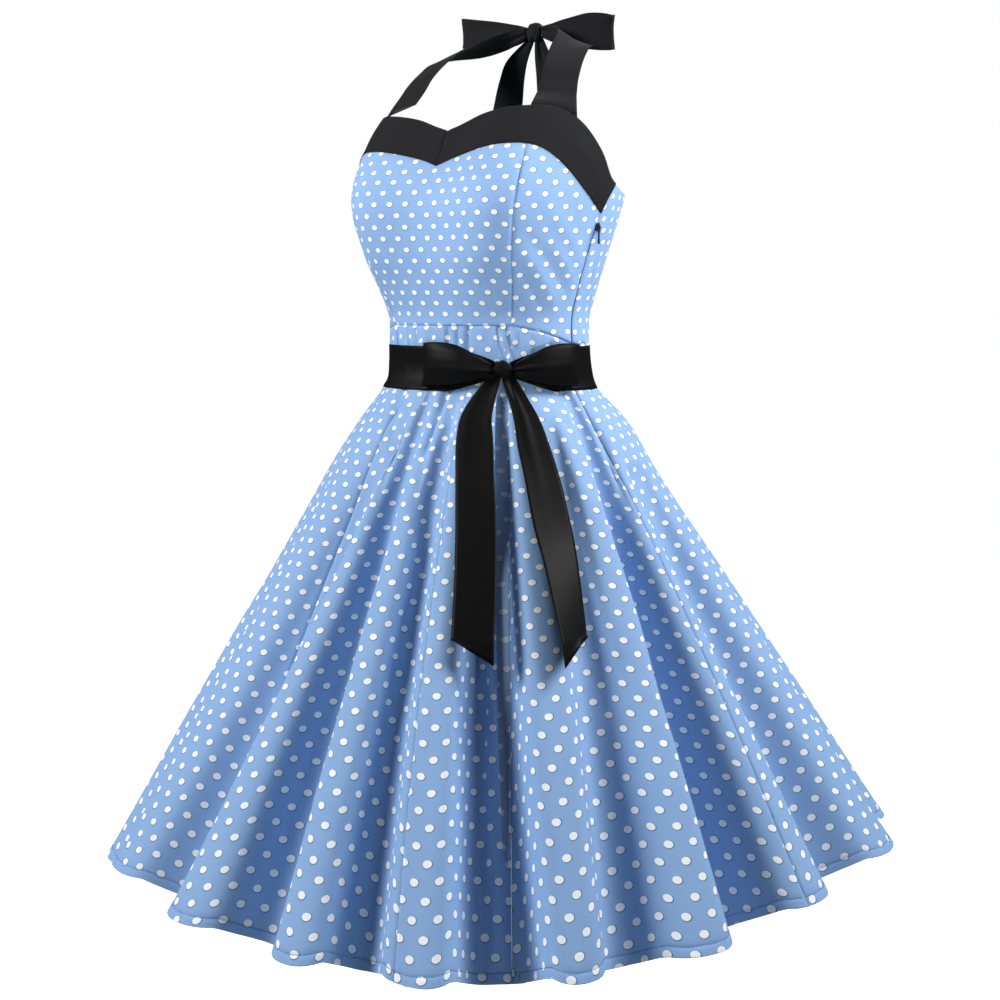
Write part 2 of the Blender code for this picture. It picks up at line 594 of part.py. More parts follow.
def front_bow():
    place, along, out = waist_frame(KNOT_TURN, KNOT_HEIGHT)
    centre = place + out * (KNOT_OUT + KNOT_SIZE[1] / 2)
    up = UPWARD
    knot("sash_knot", centre, along, up, out, KNOT_SIZE, "black_satin")
    sash_loop("sash_loop_right", SASH_LOOP_RIGHT, -1)
    sash_loop("sash_loop_left", SASH_LOOP_LEFT, 1)
    hang_tail("sash_tail_right", SASH_TAIL_RIGHT, -1)
    hang_tail("sash_tail_left", SASH_TAIL_LEFT, 1)


def hang_tail(name, table, slant):
    # The ribbon lies over the skirt's ridges and bridges its valleys.
    flip = {k: tuple(reversed(v)) for k, v in table.items()}
    heights = np.array(table["height"])
    fine = np.interp(np.linspace(0, 1, TAIL_ROWS), np.linspace(0, 1, len(heights)), heights)
    turn, width, away, twist = (read(flip, "height", c, fine) for c in ("turn", "width", "out", "twist"))
    middle, along, out = waist_frame(turn, fine, False)
    middle = middle + out * away[:, None]
    twist = np.radians(twist)[:, None]
    across = along * np.cos(twist) + out * np.sin(twist)
    offsets = np.linspace(-0.5, 0.5, RIBBON_COLUMNS)
    points = middle[:, None] + across[:, None] * (width[:, None] * offsets)[..., None]
    points[-1, :, 2] += slant * TAIL_SLANT * offsets * 2
    ribbon(name, points)


# ---- halter straps and the bow at the nape ----
def halter_strap(name, side):
    turns = np.linspace(STRAP_FROM, STRAP_TO, RIBBON_COLUMNS)
    base = bodice_point(turns, edge("top", turns))
    base = base - normals(bodice_point, turns, edge("top", turns)) * COTTON / 2
    base[:, 2] += 0.0012
    table = {"step": np.linspace(0, 1, len(STRAP["inner_x"])), **STRAP}
    step = np.linspace(0, 1, 13)
    inner_edge = np.stack([read(table, "step", c, step) for c in ("inner_x", "inner_y", "inner_z")], -1)
    outer_edge = np.stack([read(table, "step", c, step) for c in ("outer_x", "outer_y", "outer_z")], -1)
    across = np.linspace(0, 1, RIBBON_COLUMNS)[:, None]
    points = inner_edge[:, None] * (1 - across) + outer_edge[:, None] * across
    points = np.concatenate([base[None], points])
    facing = grid_normals(points)
    half = RIBBON / 2
    outer = points + facing * half
    inner = points - facing * half
    mirror = np.array((side, 1, 1))
    wall(name, outer * mirror, inner * mirror, "black_cotton")


def nape_bow():
    up = UPWARD
    along = np.array((1.0, 0.0, 0.0))
    out = np.array((0.0, 1.0, 0.0))
    nape = np.array(NAPE)
    knot("neck_knot", nape + out * NAPE_KNOT_OUT, along, up, out, NAPE_KNOT_SIZE, "black_cotton")
    for name, table, side in (
        ("neck_loop_left", NAPE_LOOP_LEFT, 1),
        ("neck_loop_right", NAPE_LOOP_RIGHT, -1),
    ):
        step = np.linspace(0, 1, 19)
        loop = {"step": np.linspace(0, 1, len(table["side"])), **table}
        sideways, away, height, width = (
            read(loop, "step", c, step) for c in ("side", "out", "height", "width")
        )
        sideways = side * sideways
        middle = nape + along * sideways[:, None] + out * away[:, None] + up * height[:, None]
        strip(name, middle, np.tile(up, (len(step), 1)), width, "black_cotton")
    for name, table in (("neck_tail_left", NAPE_TAIL_LEFT), ("neck_tail_right", NAPE_TAIL_RIGHT)):
        flip = {k: tuple(reversed(v)) for k, v in table.items()}
        height = np.linspace(table["height"][0], table["height"][-1], 11)
        sideways, away, width = (read(flip, "height", c, height) for c in ("side", "out", "width"))
        middle = nape + along * sideways[:, None] + out * away[:, None] + up * height[:, None]
        strip(name, middle, np.tile(along, (len(height), 1)), width, "black_cotton")


# ---- side zip ----
def zip_frame():
    # Where the slider sits on the wearer's left side seam: place, round, up and out.
    shares = np.linspace(0.5, 1.0, 200)
    turns = bodice_seam("side", shares, 1)
    heights = bodice_height(turns, shares)
    turn = np.interp(SLIDER_HEIGHT, heights, turns)
    place = bodice_point(turn, SLIDER_HEIGHT)
    out = normals(bodice_point, np.array(turn), np.array(SLIDER_HEIGHT))
    across = unit(np.cross(UPWARD, out))
    return place, across, np.cross(out, across), out


def zip_tape():
    # The tape lies inside the seam, from below the band down into the skirt.
    shares = np.array(LOWER_SHARES[::-1])
    turns = bodice_seam("side", shares, 1)
    heights = bodice_height(turns, shares)
    place = bodice_point(turns, heights)
    out = normals(bodice_point, turns, heights)
    levels = np.array([q for q in SKIRT_SHARES if 0 < q <= ZIP_DOWN])
    hem_turn, waist_turn = SEAM_TURNS[2], SEAM_TURNS_WAIST[2]
    skirt_turns = waist_turn + (hem_turn - waist_turn) * levels
    place = np.concatenate([place, skirt_point(skirt_turns, levels)])
    out = np.concatenate([out, normals(skirt_point, skirt_turns, levels)])
    across = unit(np.cross(UPWARD, out))
    face = place - out * (COTTON + 2 * SEAM_GAP)
    sides = np.array((-0.5, 0.5)) * ZIP_TAPE
    points = face[:, None] + across[:, None] * sides[:, None]
    wall("zip_tape", points, points - out[:, None] * ZIP_TAPE_THICK, "navy_tape")


def cut(target, name, bm):
    # A hidden cutter and the Boolean that uses it.
    mesh = bpy.data.meshes.new(name)
    bm.to_mesh(mesh)
    bm.free()
    cutter = bpy.data.objects.new(name, mesh)
    cutter.hide_render = True
    cutter.display_type = "WIRE"
    bpy.context.scene.collection.objects.link(cutter)
    boolean = target.modifiers.new(name, "BOOLEAN")
    boolean.operation = "DIFFERENCE"
    boolean.solver = "EXACT"
    boolean.object = cutter
    return cutter


def turned(bm, place, across, up, out):
    for v in bm.verts:
        v.co = place + across * v.co.x + up * v.co.y + out * v.co.z


def zip_slider():
    place, across, up, out = zip_frame()
    bm = bmesh.new()
    bmesh.ops.create_cube(bm, size=1.0)
    bmesh.ops.scale(bm, vec=SLIDER_SIZE, verts=bm.verts)
    bmesh.ops.translate(bm, vec=(0, 0, SEAM_GAP + SLIDER_SIZE[2] / 2), verts=bm.verts)
    corners = [e for e in bm.edges if abs((e.verts[0].co - e.verts[1].co).z) > SLIDER_SIZE[2] / 2]
    bmesh.ops.bevel(bm, geom=corners, offset=0.0014, segments=2, profile=0.5, affect="EDGES")
    top = max(bm.faces, key=lambda f: f.calc_center_median().z)
    made = bmesh.ops.extrude_discrete_faces(bm, faces=[top])["faces"]
    for v in made[0].verts:
        v.co.x *= ARCH_SIZE[0] / SLIDER_SIZE[0]
        v.co.y *= ARCH_SIZE[1] / SLIDER_SIZE[1]
    made = bmesh.ops.extrude_discrete_faces(bm, faces=made)["faces"]
    bmesh.ops.translate(bm, vec=(0, 0, ARCH_SIZE[2]), verts=made[0].verts)
    turned(bm, place, across, up, out)
    slider = finish("zip_slider", bm, "zip_metal", smooth=False)
    bm = bmesh.new()
    bmesh.ops.create_cone(
        bm, cap_ends=True, segments=10, radius1=ARCH_HOLE, radius2=ARCH_HOLE, depth=SLIDER_SIZE[0] * 2
    )
    for v in bm.verts:
        v.co.x, v.co.z = v.co.z, v.co.x + hinge_out()
    bmesh.ops.recalc_face_normals(bm, faces=bm.faces)
    turned(bm, place, across, up, out)
    cut(slider, "slider_eye", bm)


def hinge_out():
    # How far the hinge line stands out from the cloth.
    return SEAM_GAP + SLIDER_SIZE[2] + ARCH_HOLE


def zip_pull():
    # The pull hangs straight down from the bridge, which passes through its eye.
    place, across, up, out = zip_frame()
    hinge = place + out * hinge_out()
    level = unit(out * (1, 1, 0))
    below = np.array(PULL["below"])
    half = np.array(PULL["half"])
    points = np.stack([np.stack([-half, -below], -1), np.stack([half, -below], -1)], 1)
    spots = across * points[..., :1] + UPWARD * points[..., 1:]
    pull = wall("zip_pull", spots + level * PULL_THICK / 2, spots - level * PULL_THICK / 2, "zip_metal")
    pull.location = hinge
    width, start, stop = PULL_WINDOW
    bm = bmesh.new()
    bmesh.ops.create_cube(bm, size=1.0)
    bmesh.ops.scale(bm, vec=(width, PULL_THICK * 4, stop - start), verts=bm.verts)
    bmesh.ops.translate(bm, vec=(0, 0, -(start + stop) / 2), verts=bm.verts)
    for v in bm.verts:
        v.co = across * v.co.x + level * v.co.y + UPWARD * v.co.z
    if bm.calc_volume(signed=True) < 0:
        bmesh.ops.reverse_faces(bm, faces=bm.faces)
    cut(pull, "pull_eye", bm).location = hinge


def main():
    for old in list(bpy.data.objects):
        bpy.data.objects.remove(old)
    centre, left, right = bodice()
    bust_band(centre, left, right)
    columns = skirt()
    sash(columns)
    front_bow()
    halter_strap("halter_strap_left", 1)
    halter_strap("halter_strap_right", -1)
    nape_bow()
    zip_tape()
    zip_slider()
    zip_pull()


main()
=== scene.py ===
# Halter dress in spot print cotton with a satin ribbon sash, for Blender 4.5.
# Metres, +Z up. The front faces -Y and the wearer's left is +X.
# A place on the dress is given by its turn, in degrees round from centre front towards the
# wearer's left, and by a height or a share of the way down.
from math import radians

import bmesh
import bpy
import numpy as np
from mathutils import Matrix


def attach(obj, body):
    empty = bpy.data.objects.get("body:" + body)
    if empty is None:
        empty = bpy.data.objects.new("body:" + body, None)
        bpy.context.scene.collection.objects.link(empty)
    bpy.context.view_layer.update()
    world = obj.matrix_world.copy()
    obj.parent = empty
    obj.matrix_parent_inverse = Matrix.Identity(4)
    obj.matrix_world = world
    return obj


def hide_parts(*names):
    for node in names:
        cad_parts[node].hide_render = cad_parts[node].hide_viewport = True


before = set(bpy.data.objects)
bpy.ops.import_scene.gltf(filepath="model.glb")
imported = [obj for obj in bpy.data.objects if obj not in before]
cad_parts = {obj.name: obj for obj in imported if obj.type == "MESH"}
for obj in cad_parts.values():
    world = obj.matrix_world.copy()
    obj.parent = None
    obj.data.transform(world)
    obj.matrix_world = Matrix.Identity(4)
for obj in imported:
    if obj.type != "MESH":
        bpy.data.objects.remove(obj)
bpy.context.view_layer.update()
scene = bpy.context.scene
print("frame loaded:", len(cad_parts), "nodes")

cloth = {
    "seamGap": 0.0003,
    "cottonThick": 0.0009,
    "seamDip": 0.0011,  # how far the cloth dips into a seam
    "dipWide": 0.0015,
    "turnedDeep": 0.0022,  # how far inside a turned edge lies
    "allowance": 0.011,
    "near": (0.0, 0.0006, 0.0013, 0.0022, 0.0036),  # places of the lines of points beside an edge
    "foldIn": 0.0004,  # from a turned edge to where the cloth is back on itself
    "hairline": 0.00004,  # between two pieces at their seam
}
upward = np.array((0.0, 0.0, 1.0))

# The bodice's sections: bust is how far each cup stands out in front of the ellipse, and
# square how far the back's two corners stand out of it.
bodiceSections = {
    "height": (0.015, 0.045, 0.080, 0.115, 0.150, 0.180, 0.205, 0.230, 0.255, 0.280),
    "halfWidth": (0.1155, 0.1155, 0.1240, 0.1350, 0.1452, 0.1510, 0.1515, 0.1469, 0.1350, 0.1150),
    "front": (0.0880, 0.0880, 0.0950, 0.1000, 0.1000, 0.0940, 0.0832, 0.0706, 0.0580, 0.0440),
    "back": (0.0880, 0.0880, 0.0905, 0.0990, 0.1070, 0.1140, 0.1170, 0.1170, 0.1170, 0.1170),
    "square": (0.000, 0.000, 0.010, 0.012, 0.020, 0.040, 0.050, 0.050, 0.050, 0.050),
    "bust": (0.0, 0.0, 0.007, 0.022, 0.0325, 0.0358, 0.0328, 0.0275, 0.0226, 0.0180),
    "cupTurn": 36.0,
    "cupSpread": 25.0,
}
bodiceEdges = {
    "turn": (0, 6, 16, 28, 40, 50, 60, 70, 80, 90, 100, 125, 150, 180),
    "waist": (
        0.0437, 0.0437, 0.0437, 0.0437, 0.0437, 0.0405, 0.0365,
        0.0315, 0.0260, 0.0250, 0.0250, 0.0260, 0.0275, 0.0280,
    ),
    "band": (
        0.2043, 0.2100, 0.2165, 0.2216, 0.2229, 0.2180, 0.2015,
        0.1800, 0.1625, 0.1500, 0.1460, 0.1400, 0.1330, 0.1300,
    ),
    "top": (
        0.2406, 0.2452, 0.2535, 0.2585, 0.2608, 0.2614, 0.2583,
        0.2459, 0.2199, 0.1925, 0.1835, 0.1765, 0.1685, 0.1630,
    ),
}
# Seams by share: 0 at the waist, 1 at the band's lower edge and 2 at the top.
bodiceSeams = {
    "share": (0.0, 0.35, 0.75, 1.0, 1.5, 2.0),
    "princess": (40.5, 43.5, 44.0, 43.5, 43.0, 42.5),
    "side": (82.0, 81.5, 82.5, 84.5, 89.0, 95.0),
}
skirtForm = {
    "halfWidth": 0.1155,
    "halfDepth": 0.0880,
    "swellFrom": 0.10,
    "hipShare": 0.145,
    "hipSpread": 0.080,
    "seamTurns": (24.0, 38.3, 77.0, 128.0),  # on each side, at the hem
    "seamTurnsWaist": (17.0, 38.0, 82.0, 130.0),
    "length": 0.575,
    "turnStep": 0.62,
    "rowStep": 0.0055,
    "hemUp": 0.0082,  # from the hem to its line of stitching
}
skirtFlare = {
    "drop": (0.0, 0.060, 0.095, 0.119, 0.170, 0.226, 0.355, 0.490, 0.625, 0.760, 0.880, 1.0),
    "spread": (0.0, 0.000, 0.008, 0.030, 0.098, 0.166, 0.303, 0.449, 0.594, 0.741, 0.869, 1.0),
}
skirtHem = {
    "turn": (-180, -135, -90, -55, -20, 10, 38, 62, 80, 102, 140, 180),
    "reach": (0.418, 0.414, 0.408, 0.401, 0.386, 0.404, 0.430, 0.425, 0.425, 0.422, 0.416, 0.418),
    "height": (
        -0.503, -0.505, -0.508, -0.519, -0.513, -0.508,
        -0.503, -0.493, -0.479, -0.487, -0.495, -0.503,
    ),
    "swell": (0.006, 0.004, 0.004, 0.004, 0.003, 0.002, 0.004, 0.006, 0.007, 0.008, 0.007, 0.006),
    "hip": (0.004, 0.002, 0.000, 0.000, 0.000, 0.000, 0.000, 0.001, 0.004, 0.009, 0.011, 0.006),
}
# Ridge, how far out, its lean, the valley after it, how far in, its lean, and where it begins.
skirtFolds = (
    (-166.0, 0.022, -2, -156.5, 0.030, -2, 0.16),
    (-147.0, 0.020, 2, -137.5, 0.032, 2, 0.20),
    (-128.0, 0.023, 1, -118.0, 0.030, 1, 0.14),
    (-108.0, 0.020, -2, -98.0, 0.034, -2, 0.18),
    (-88.0, 0.018, 1, -75.0, 0.028, 1, 0.15),
    (-64.0, 0.010, 2, -56.0, -0.004, 1, 0.20),
    (-39.0, 0.018, 6, -22.0, 0.045, 17, 0.18),
    (-12.5, 0.018, 7, 1.5, 0.047, -3, 0.11),
    (10.5, 0.019, -5, 17.0, 0.041, -4, 0.10),
    (27.6, 0.019, -8, 34.6, 0.062, -6, 0.12),
    (36.6, -0.058, -6, 38.8, 0.062, -5, 0.12),
    (45.0, 0.019, -3, 51.5, 0.030, 6, 0.14),
    (62.2, 0.019, 3, 69.0, 0.060, 5, 0.08),
    (78.5, 0.014, 3, 90.0, 0.058, 0, 0.24),
    (106.0, 0.020, 2, 115.0, 0.000, 1, 0.14),
    (121.0, 0.018, -1, 132.0, 0.028, -1, 0.18),
    (141.0, 0.019, 2, 149.0, 0.030, 2, 0.15),
    (157.0, 0.021, 1, 165.0, 0.028, 1, 0.20),
    (173.0, 0.020, 0, 183.5, 0.028, 0, 0.16),
)
foldShape = {
    "crest": 0.22,  # widens the ridges and narrows the valleys
    "steep": 0.25,  # steepens the flanks between them
    "ridgeGrowth": 1.15,  # how late the ridges and the valleys reach their full depth
    "valleyGrowth": 0.66,
    "hemDrop": 0.50,  # how much lower the hem hangs for each metre that a valley lies in
    "over": (0.022, 0.14, 1.15),  # how far out the line over the ridges goes, from where, how late
}


def readTable(table, key, column, at):
    # A smooth curve through a column, flat where the column turns back.
    x = np.asarray(table[key], float)
    y = np.asarray(table[column], float)
    at = np.clip(np.asarray(at, float), x[0], x[-1])
    step = np.diff(x)
    slope = np.diff(y) / step
    mean = (slope[:-1] * step[1:] + slope[1:] * step[:-1]) / (step[1:] + step[:-1])
    inner = np.where(slope[:-1] * slope[1:] > 0, mean, 0.0)
    tangent = np.concatenate([[slope[0]], inner, [slope[-1]]])
    i = np.clip(np.searchsorted(x, at, side="right") - 1, 0, len(x) - 2)
    w = (at - x[i]) / step[i]
    a = (2 * w**3 - 3 * w**2 + 1) * y[i] + (w**3 - 2 * w**2 + w) * step[i] * tangent[i]
    b = (3 * w**2 - 2 * w**3) * y[i + 1] + (w**3 - w**2) * step[i] * tangent[i + 1]
    return a + b


def readColumns(table, key, columns, at):
    return [readTable(table, key, column, at) for column in columns]


def unit(vectors):
    return vectors / np.maximum(np.linalg.norm(vectors, axis=-1, keepdims=True), 1e-12)


def wrapTurn(turn):
    return (turn + 180) % 360 - 180


def smooth(value):
    value = np.clip(value, 0, 1)
    return value * value * (3 - 2 * value)


def fading(away, wide):
    # 1 on a line, and falling softly to nothing at about twice this width beside it.
    return np.exp(-((away / wide) ** 2))


def outwards(point, turn, level, small=1e-3):
    # Directions square to a surface given by turn and level, pointing out of the dress.
    across = point(turn + 0.05, level) - point(turn - 0.05, level)
    along = point(turn, level + small) - point(turn, level - small)
    found = unit(np.cross(across, along))
    place = point(turn, level)
    inward = (found * (place * (1, 1, 0))).sum(-1, keepdims=True) < 0
    return np.where(inward, -found, found)


def bodicePoint(turn, height):
    turn, height = np.broadcast_arrays(wrapTurn(np.asarray(turn, float)), np.asarray(height, float))
    angle = np.radians(turn)
    columns = ("halfWidth", "front", "back", "bust", "square")
    halfWidth, front, back, bust, square = readColumns(bodiceSections, "height", columns, height)
    cupTurn, cupSpread = bodiceSections["cupTurn"], bodiceSections["cupSpread"]
    cups = sum(fading(turn - side * cupTurn, cupSpread) for side in (-1, 1))
    forward = np.cos(angle) > 0
    fuller = np.where(forward, 1, 1 + square * np.sin(2 * angle) ** 2)
    x = halfWidth * fuller * np.sin(angle)
    y = -np.where(forward, front, back) * fuller * np.cos(angle) - bust * cups
    return np.stack([x, y, height], -1)


def edgeHeight(column, turn):
    return readTable(bodiceEdges, "turn", column, np.abs(wrapTurn(turn)))


def bodiceHeight(turn, share):
    waist, band, top = (edgeHeight(column, turn) for column in ("waist", "band", "top"))
    return np.where(share < 1, waist + (band - waist) * share, band + (top - band) * (share - 1))


def foldWave(turn, share):
    # The folds: broad ridges with a steep drop into the narrower valleys between them.
    ridge, out, ridgeLean, valley, into, valleyLean, begins = np.array(skirtFolds).T
    grown = np.clip((share[..., None] - begins) / (1 - begins), 0, 1)
    lean = 1 - share[..., None]
    at = np.stack([ridge + lean * ridgeLean, valley + lean * valleyLean], -1).reshape(share.shape + (-1,))
    value = [out * grown ** foldShape["ridgeGrowth"], -into * grown ** foldShape["valleyGrowth"]]
    value = np.stack(value, -1).reshape(share.shape + (-1,))
    at = np.concatenate([at[..., -1:] - 360, at, at[..., :1] + 360], -1)
    value = np.concatenate([value[..., -1:], value, value[..., :1]], -1)
    turn = (turn - at[..., 0]) % 360 + at[..., 0]
    i = np.clip((at <= turn[..., None]).sum(-1) - 1, 0, at.shape[-1] - 2)[..., None]
    at, after = np.take_along_axis(at, i, -1)[..., 0], np.take_along_axis(at, i + 1, -1)[..., 0]
    value, following = np.take_along_axis(value, i, -1)[..., 0], np.take_along_axis(value, i + 1, -1)[..., 0]
    w = (turn - at) / (after - at)
    fromRidge = i[..., 0] % 2 == 1
    swing = np.linspace(0, np.pi, 90)
    place = (swing + foldShape["crest"] * np.sin(swing) + foldShape["steep"] * np.sin(2 * swing)) / np.pi
    w = (1 - np.cos(np.interp(np.where(fromRidge, w, 1 - w), place, swing))) / 2
    return value + (following - value) * np.where(fromRidge, w, 1 - w)


def skirtSwell(turn, share):
    belowSash = np.clip((share - skirtForm["swellFrom"]) / (1 - skirtForm["swellFrom"]), 0, 1)
    roundOut = readTable(skirtHem, "turn", "swell", turn) * 2.6 * belowSash**0.5 * (1 - belowSash)
    hipShare, hipSpread = skirtForm["hipShare"], skirtForm["hipSpread"]
    hip = fading(share - hipShare, hipSpread) - fading(hipShare, hipSpread)
    return roundOut + readTable(skirtHem, "turn", "hip", turn) * np.maximum(hip, 0)


def skirtPoint(turn, share, folded=True):
    # With folded off it gives the line over the ridges, where a ribbon bridges the valleys.
    turn, share = np.broadcast_arrays(np.asarray(turn, float), np.asarray(share, float))
    angle = np.radians(turn)
    around = wrapTurn(turn)
    level = np.clip(share, 0, 1)
    spread = readTable(skirtFlare, "drop", "spread", level)
    reach = readTable(skirtHem, "turn", "reach", around)
    if folded:
        folds = foldWave(turn, level)
    else:
        out, begins, growth = foldShape["over"]
        folds = out * np.clip((level - begins) / (1 - begins), 0, 1) ** growth
    swelled = folds + skirtSwell(around, level)
    x = (skirtForm["halfWidth"] + (reach - skirtForm["halfWidth"]) * spread + swelled) * np.sin(angle)
    y = -(skirtForm["halfDepth"] + (reach - skirtForm["halfDepth"]) * spread + swelled) * np.cos(angle)
    top = edgeHeight("waist", around) - cloth["seamGap"]
    hem = readTable(skirtHem, "turn", "height", around) - foldShape["hemDrop"] * np.maximum(-folds, 0)
    z = top + (hem - top) * share
    return np.stack([x, y, z], -1)


def onSkirt(turn, height, folded=True):
    top = edgeHeight("waist", turn)
    share = (top - height) / (top - readTable(skirtHem, "turn", "height", wrapTurn(turn)))
    return skirtPoint(turn, share, folded)


def waistFrame(turn, height, folded=True):
    turn, height = np.broadcast_arrays(np.asarray(turn, float), np.asarray(height, float))
    place = onSkirt(turn, height, folded)
    along = unit((onSkirt(turn + 1, height, folded) - onSkirt(turn - 1, height, folded)) * (1, 1, 0))
    out = np.stack([along[..., 1], -along[..., 0], np.zeros(turn.shape)], -1)
    return place, along, out


# Node trees and materials
def linear(hexColour):
    # An sRGB hex colour as linear values.
    values = [int(hexColour[i : i + 2], 16) / 255 for i in (1, 3, 5)]
    return (*(v / 12.92 if v <= 0.04045 else ((v + 0.055) / 1.055) ** 2.4 for v in values), 1.0)


def addNode(tree, kind, links=(), **settings):
    # Adds a node, sets its options and inputs, and links other nodes' outputs to it.
    node = tree.nodes.new(kind)
    for key, value in settings.items():
        if key == "inputs":
            for name, amount in value.items():
                node.inputs[name].default_value = amount
        else:
            setattr(node, key, value)
    for name, source in dict(links).items():
        tree.links.new(source, node.inputs[name])
    return node


def newMaterial(name, colour, roughness, **sockets):
    made = bpy.data.materials.new(name)
    made.use_nodes = True
    shader = made.node_tree.nodes["Principled BSDF"]
    shader.inputs["Base Color"].default_value = linear(colour)
    shader.inputs["Roughness"].default_value = roughness
    for socket, value in sockets.items():
        shader.inputs[socket.replace("_", " ")].default_value = value
    made.diffuse_color = linear(colour)
    return made, made.node_tree, shader


# Each weave's thread spacing and depth in metres, and how close its weft lies beside its warp.
# Poplin has about 40 threads to the centimetre; all are drawn coarser so that they show.
weaves = {
    "poplin": (0.0009, 0.00005, 1.0),
    "sateen": (0.0010, 0.00006, 1.0),
    "tape": (0.0008, 0.00008, 0.5),
}
satinFloats = (60.0, 2600.0, 1.0)  # how close the ribbon's threads lie, along it and across


def weaveBump(tree, shader, uv, thread, depth, ribbed):
    # Over and under threads of a plain weave as two crossed waves.
    turns = addNode(
        tree, "ShaderNodeVectorMath", {0: uv}, operation="MULTIPLY",
        inputs={1: (2 * np.pi / thread, 2 * np.pi / thread * ribbed, 0)},
    )
    parts = addNode(tree, "ShaderNodeSeparateXYZ", {0: turns.outputs[0]})
    warp = addNode(tree, "ShaderNodeMath", {0: parts.outputs[0]}, operation="SINE")
    weft = addNode(tree, "ShaderNodeMath", {0: parts.outputs[1]}, operation="SINE")
    height = addNode(tree, "ShaderNodeMath", {0: warp.outputs[0], 1: weft.outputs[0]}, operation="MULTIPLY")
    bump = addNode(
        tree, "ShaderNodeBump", {"Height": height.outputs[0]}, inputs={"Strength": 0.35, "Distance": depth}
    )
    tree.links.new(bump.outputs[0], shader.inputs["Normal"])
    return height.outputs[0]


printDots = {
    "ground": "#8CB1DF",
    "groundShade": "#85AADA",  # the slight unevenness of the dye
    "dot": "#F6FBFF",
    "edge": "#4F6F9C",
    "across": 0.0177,  # between dots in a row
    "down": 0.0118,  # between rows, which are set half a step over
    "radius": 0.0030,
    "wide": 1.07,
    "tall": 0.88,
    "soft": 0.00022,
    "rim": 0.00052,
    "rimShift": (-0.35, 0.45),  # how far the rim sits off the dot, as shares of its width
    "reverse": "#A9C3E8",  # what the back of the cloth fades to, and by how much
    "faded": 0.45,
}


def spotPrint(name, faded):
    # Cotton poplin, woven plain and printed: a matte face whose dots have a thin darker rim
    # where the blue ground overlaps them. On the back of the cloth the print only shows through.
    made, tree, shader = newMaterial(
        name, printDots["ground"], 0.72, Specular_IOR_Level=0.34, Sheen_Weight=0.06, Sheen_Roughness=0.5
    )
    uv = addNode(tree, "ShaderNodeUVMap", uv_map="cloth").outputs[0]
    cell = (printDots["across"], printDots["down"] * 2, 1)
    nearest = []
    for shift in ((0.5, 0.5, 0), (0.0, 0.0, 0)):
        divided = addNode(tree, "ShaderNodeVectorMath", {0: uv}, operation="DIVIDE", inputs={1: cell})
        moved = addNode(
            tree, "ShaderNodeVectorMath", {0: divided.outputs[0]}, operation="ADD",
            inputs={1: shift},
        )
        within = addNode(tree, "ShaderNodeVectorMath", {0: moved.outputs[0]}, operation="FRACTION")
        centred = addNode(
            tree, "ShaderNodeVectorMath", {0: within.outputs[0]}, operation="SUBTRACT",
            inputs={1: (0.5, 0.5, 0)},
        )
        sized = addNode(
            tree, "ShaderNodeVectorMath", {0: centred.outputs[0]}, operation="MULTIPLY",
            inputs={1: (cell[0] / printDots["wide"], cell[1] / printDots["tall"], 0)},
        )
        lower = addNode(
            tree, "ShaderNodeVectorMath", {0: sized.outputs[0]}, operation="ADD",
            inputs={1: (*(printDots["rim"] * share for share in printDots["rimShift"]), 0)},
        )
        nearest.append(
            [
                addNode(tree, "ShaderNodeVectorMath", {0: at.outputs[0]}, operation="LENGTH").outputs["Value"]
                for at in (sized, lower)
            ]
        )
    masks = []
    for first, second, radius in (
        (nearest[0][0], nearest[1][0], printDots["radius"]),
        (nearest[0][1], nearest[1][1], printDots["radius"] + printDots["rim"]),
    ):
        away = addNode(tree, "ShaderNodeMath", {0: first, 1: second}, operation="MINIMUM")
        mask = addNode(
            tree, "ShaderNodeMapRange", {"Value": away.outputs[0]}, interpolation_type="SMOOTHSTEP",
            inputs={"From Min": radius + printDots["soft"], "From Max": radius - printDots["soft"]},
        )
        masks.append(mask.outputs["Result"])
    place = addNode(tree, "ShaderNodeTexCoord").outputs["Object"]
    cloudy = addNode(
        tree, "ShaderNodeTexNoise", {"Vector": place}, inputs={"Scale": 28.0, "Detail": 3.0, "Roughness": 0.6}
    )
    ground = addNode(
        tree, "ShaderNodeMix", {"Factor": cloudy.outputs[0]}, data_type="RGBA",
        inputs={6: linear(printDots["groundShade"]), 7: linear(printDots["ground"])},
    )
    rimmed = addNode(
        tree, "ShaderNodeMix", {"Factor": masks[1], 6: ground.outputs[2]}, data_type="RGBA",
        inputs={7: linear(printDots["edge"])},
    )
    dotted = addNode(
        tree, "ShaderNodeMix", {"Factor": masks[0], 6: rimmed.outputs[2]}, data_type="RGBA",
        inputs={7: linear(printDots["dot"])},
    )
    colour = dotted.outputs[2]
    if faded:
        pale = addNode(
            tree, "ShaderNodeMix", {6: colour}, data_type="RGBA",
            inputs={"Factor": printDots["faded"], 7: linear(printDots["reverse"])},
        )
        colour = pale.outputs[2]
    weaveBump(tree, shader, uv, *weaves["poplin"])
    tree.links.new(colour, shader.inputs["Base Color"])
    return made


def blackCloth():
    # Black cotton sateen, dyed and pressed flat: matte, with a faint grey bloom at a low angle.
    made, tree, shader = newMaterial(
        "blackSateen", "#141416", 0.82, Specular_IOR_Level=0.18, Sheen_Weight=0.05, Sheen_Roughness=0.45
    )
    uv = addNode(tree, "ShaderNodeUVMap", uv_map="cloth").outputs[0]
    height = weaveBump(tree, shader, uv, *weaves["sateen"])
    # Painted shade: the weave's low places are drawn darker and its raised threads lighter.
    shade = addNode(tree, "ShaderNodeMapRange", {"Value": height}, inputs={"From Min": -1.0})
    mixed = addNode(
        tree, "ShaderNodeMix", {"Factor": shade.outputs["Result"]}, data_type="RGBA",
        inputs={6: linear("#101012"), 7: linear("#17171A")},
    )
    tree.links.new(mixed.outputs[2], shader.inputs["Base Color"])
    return made


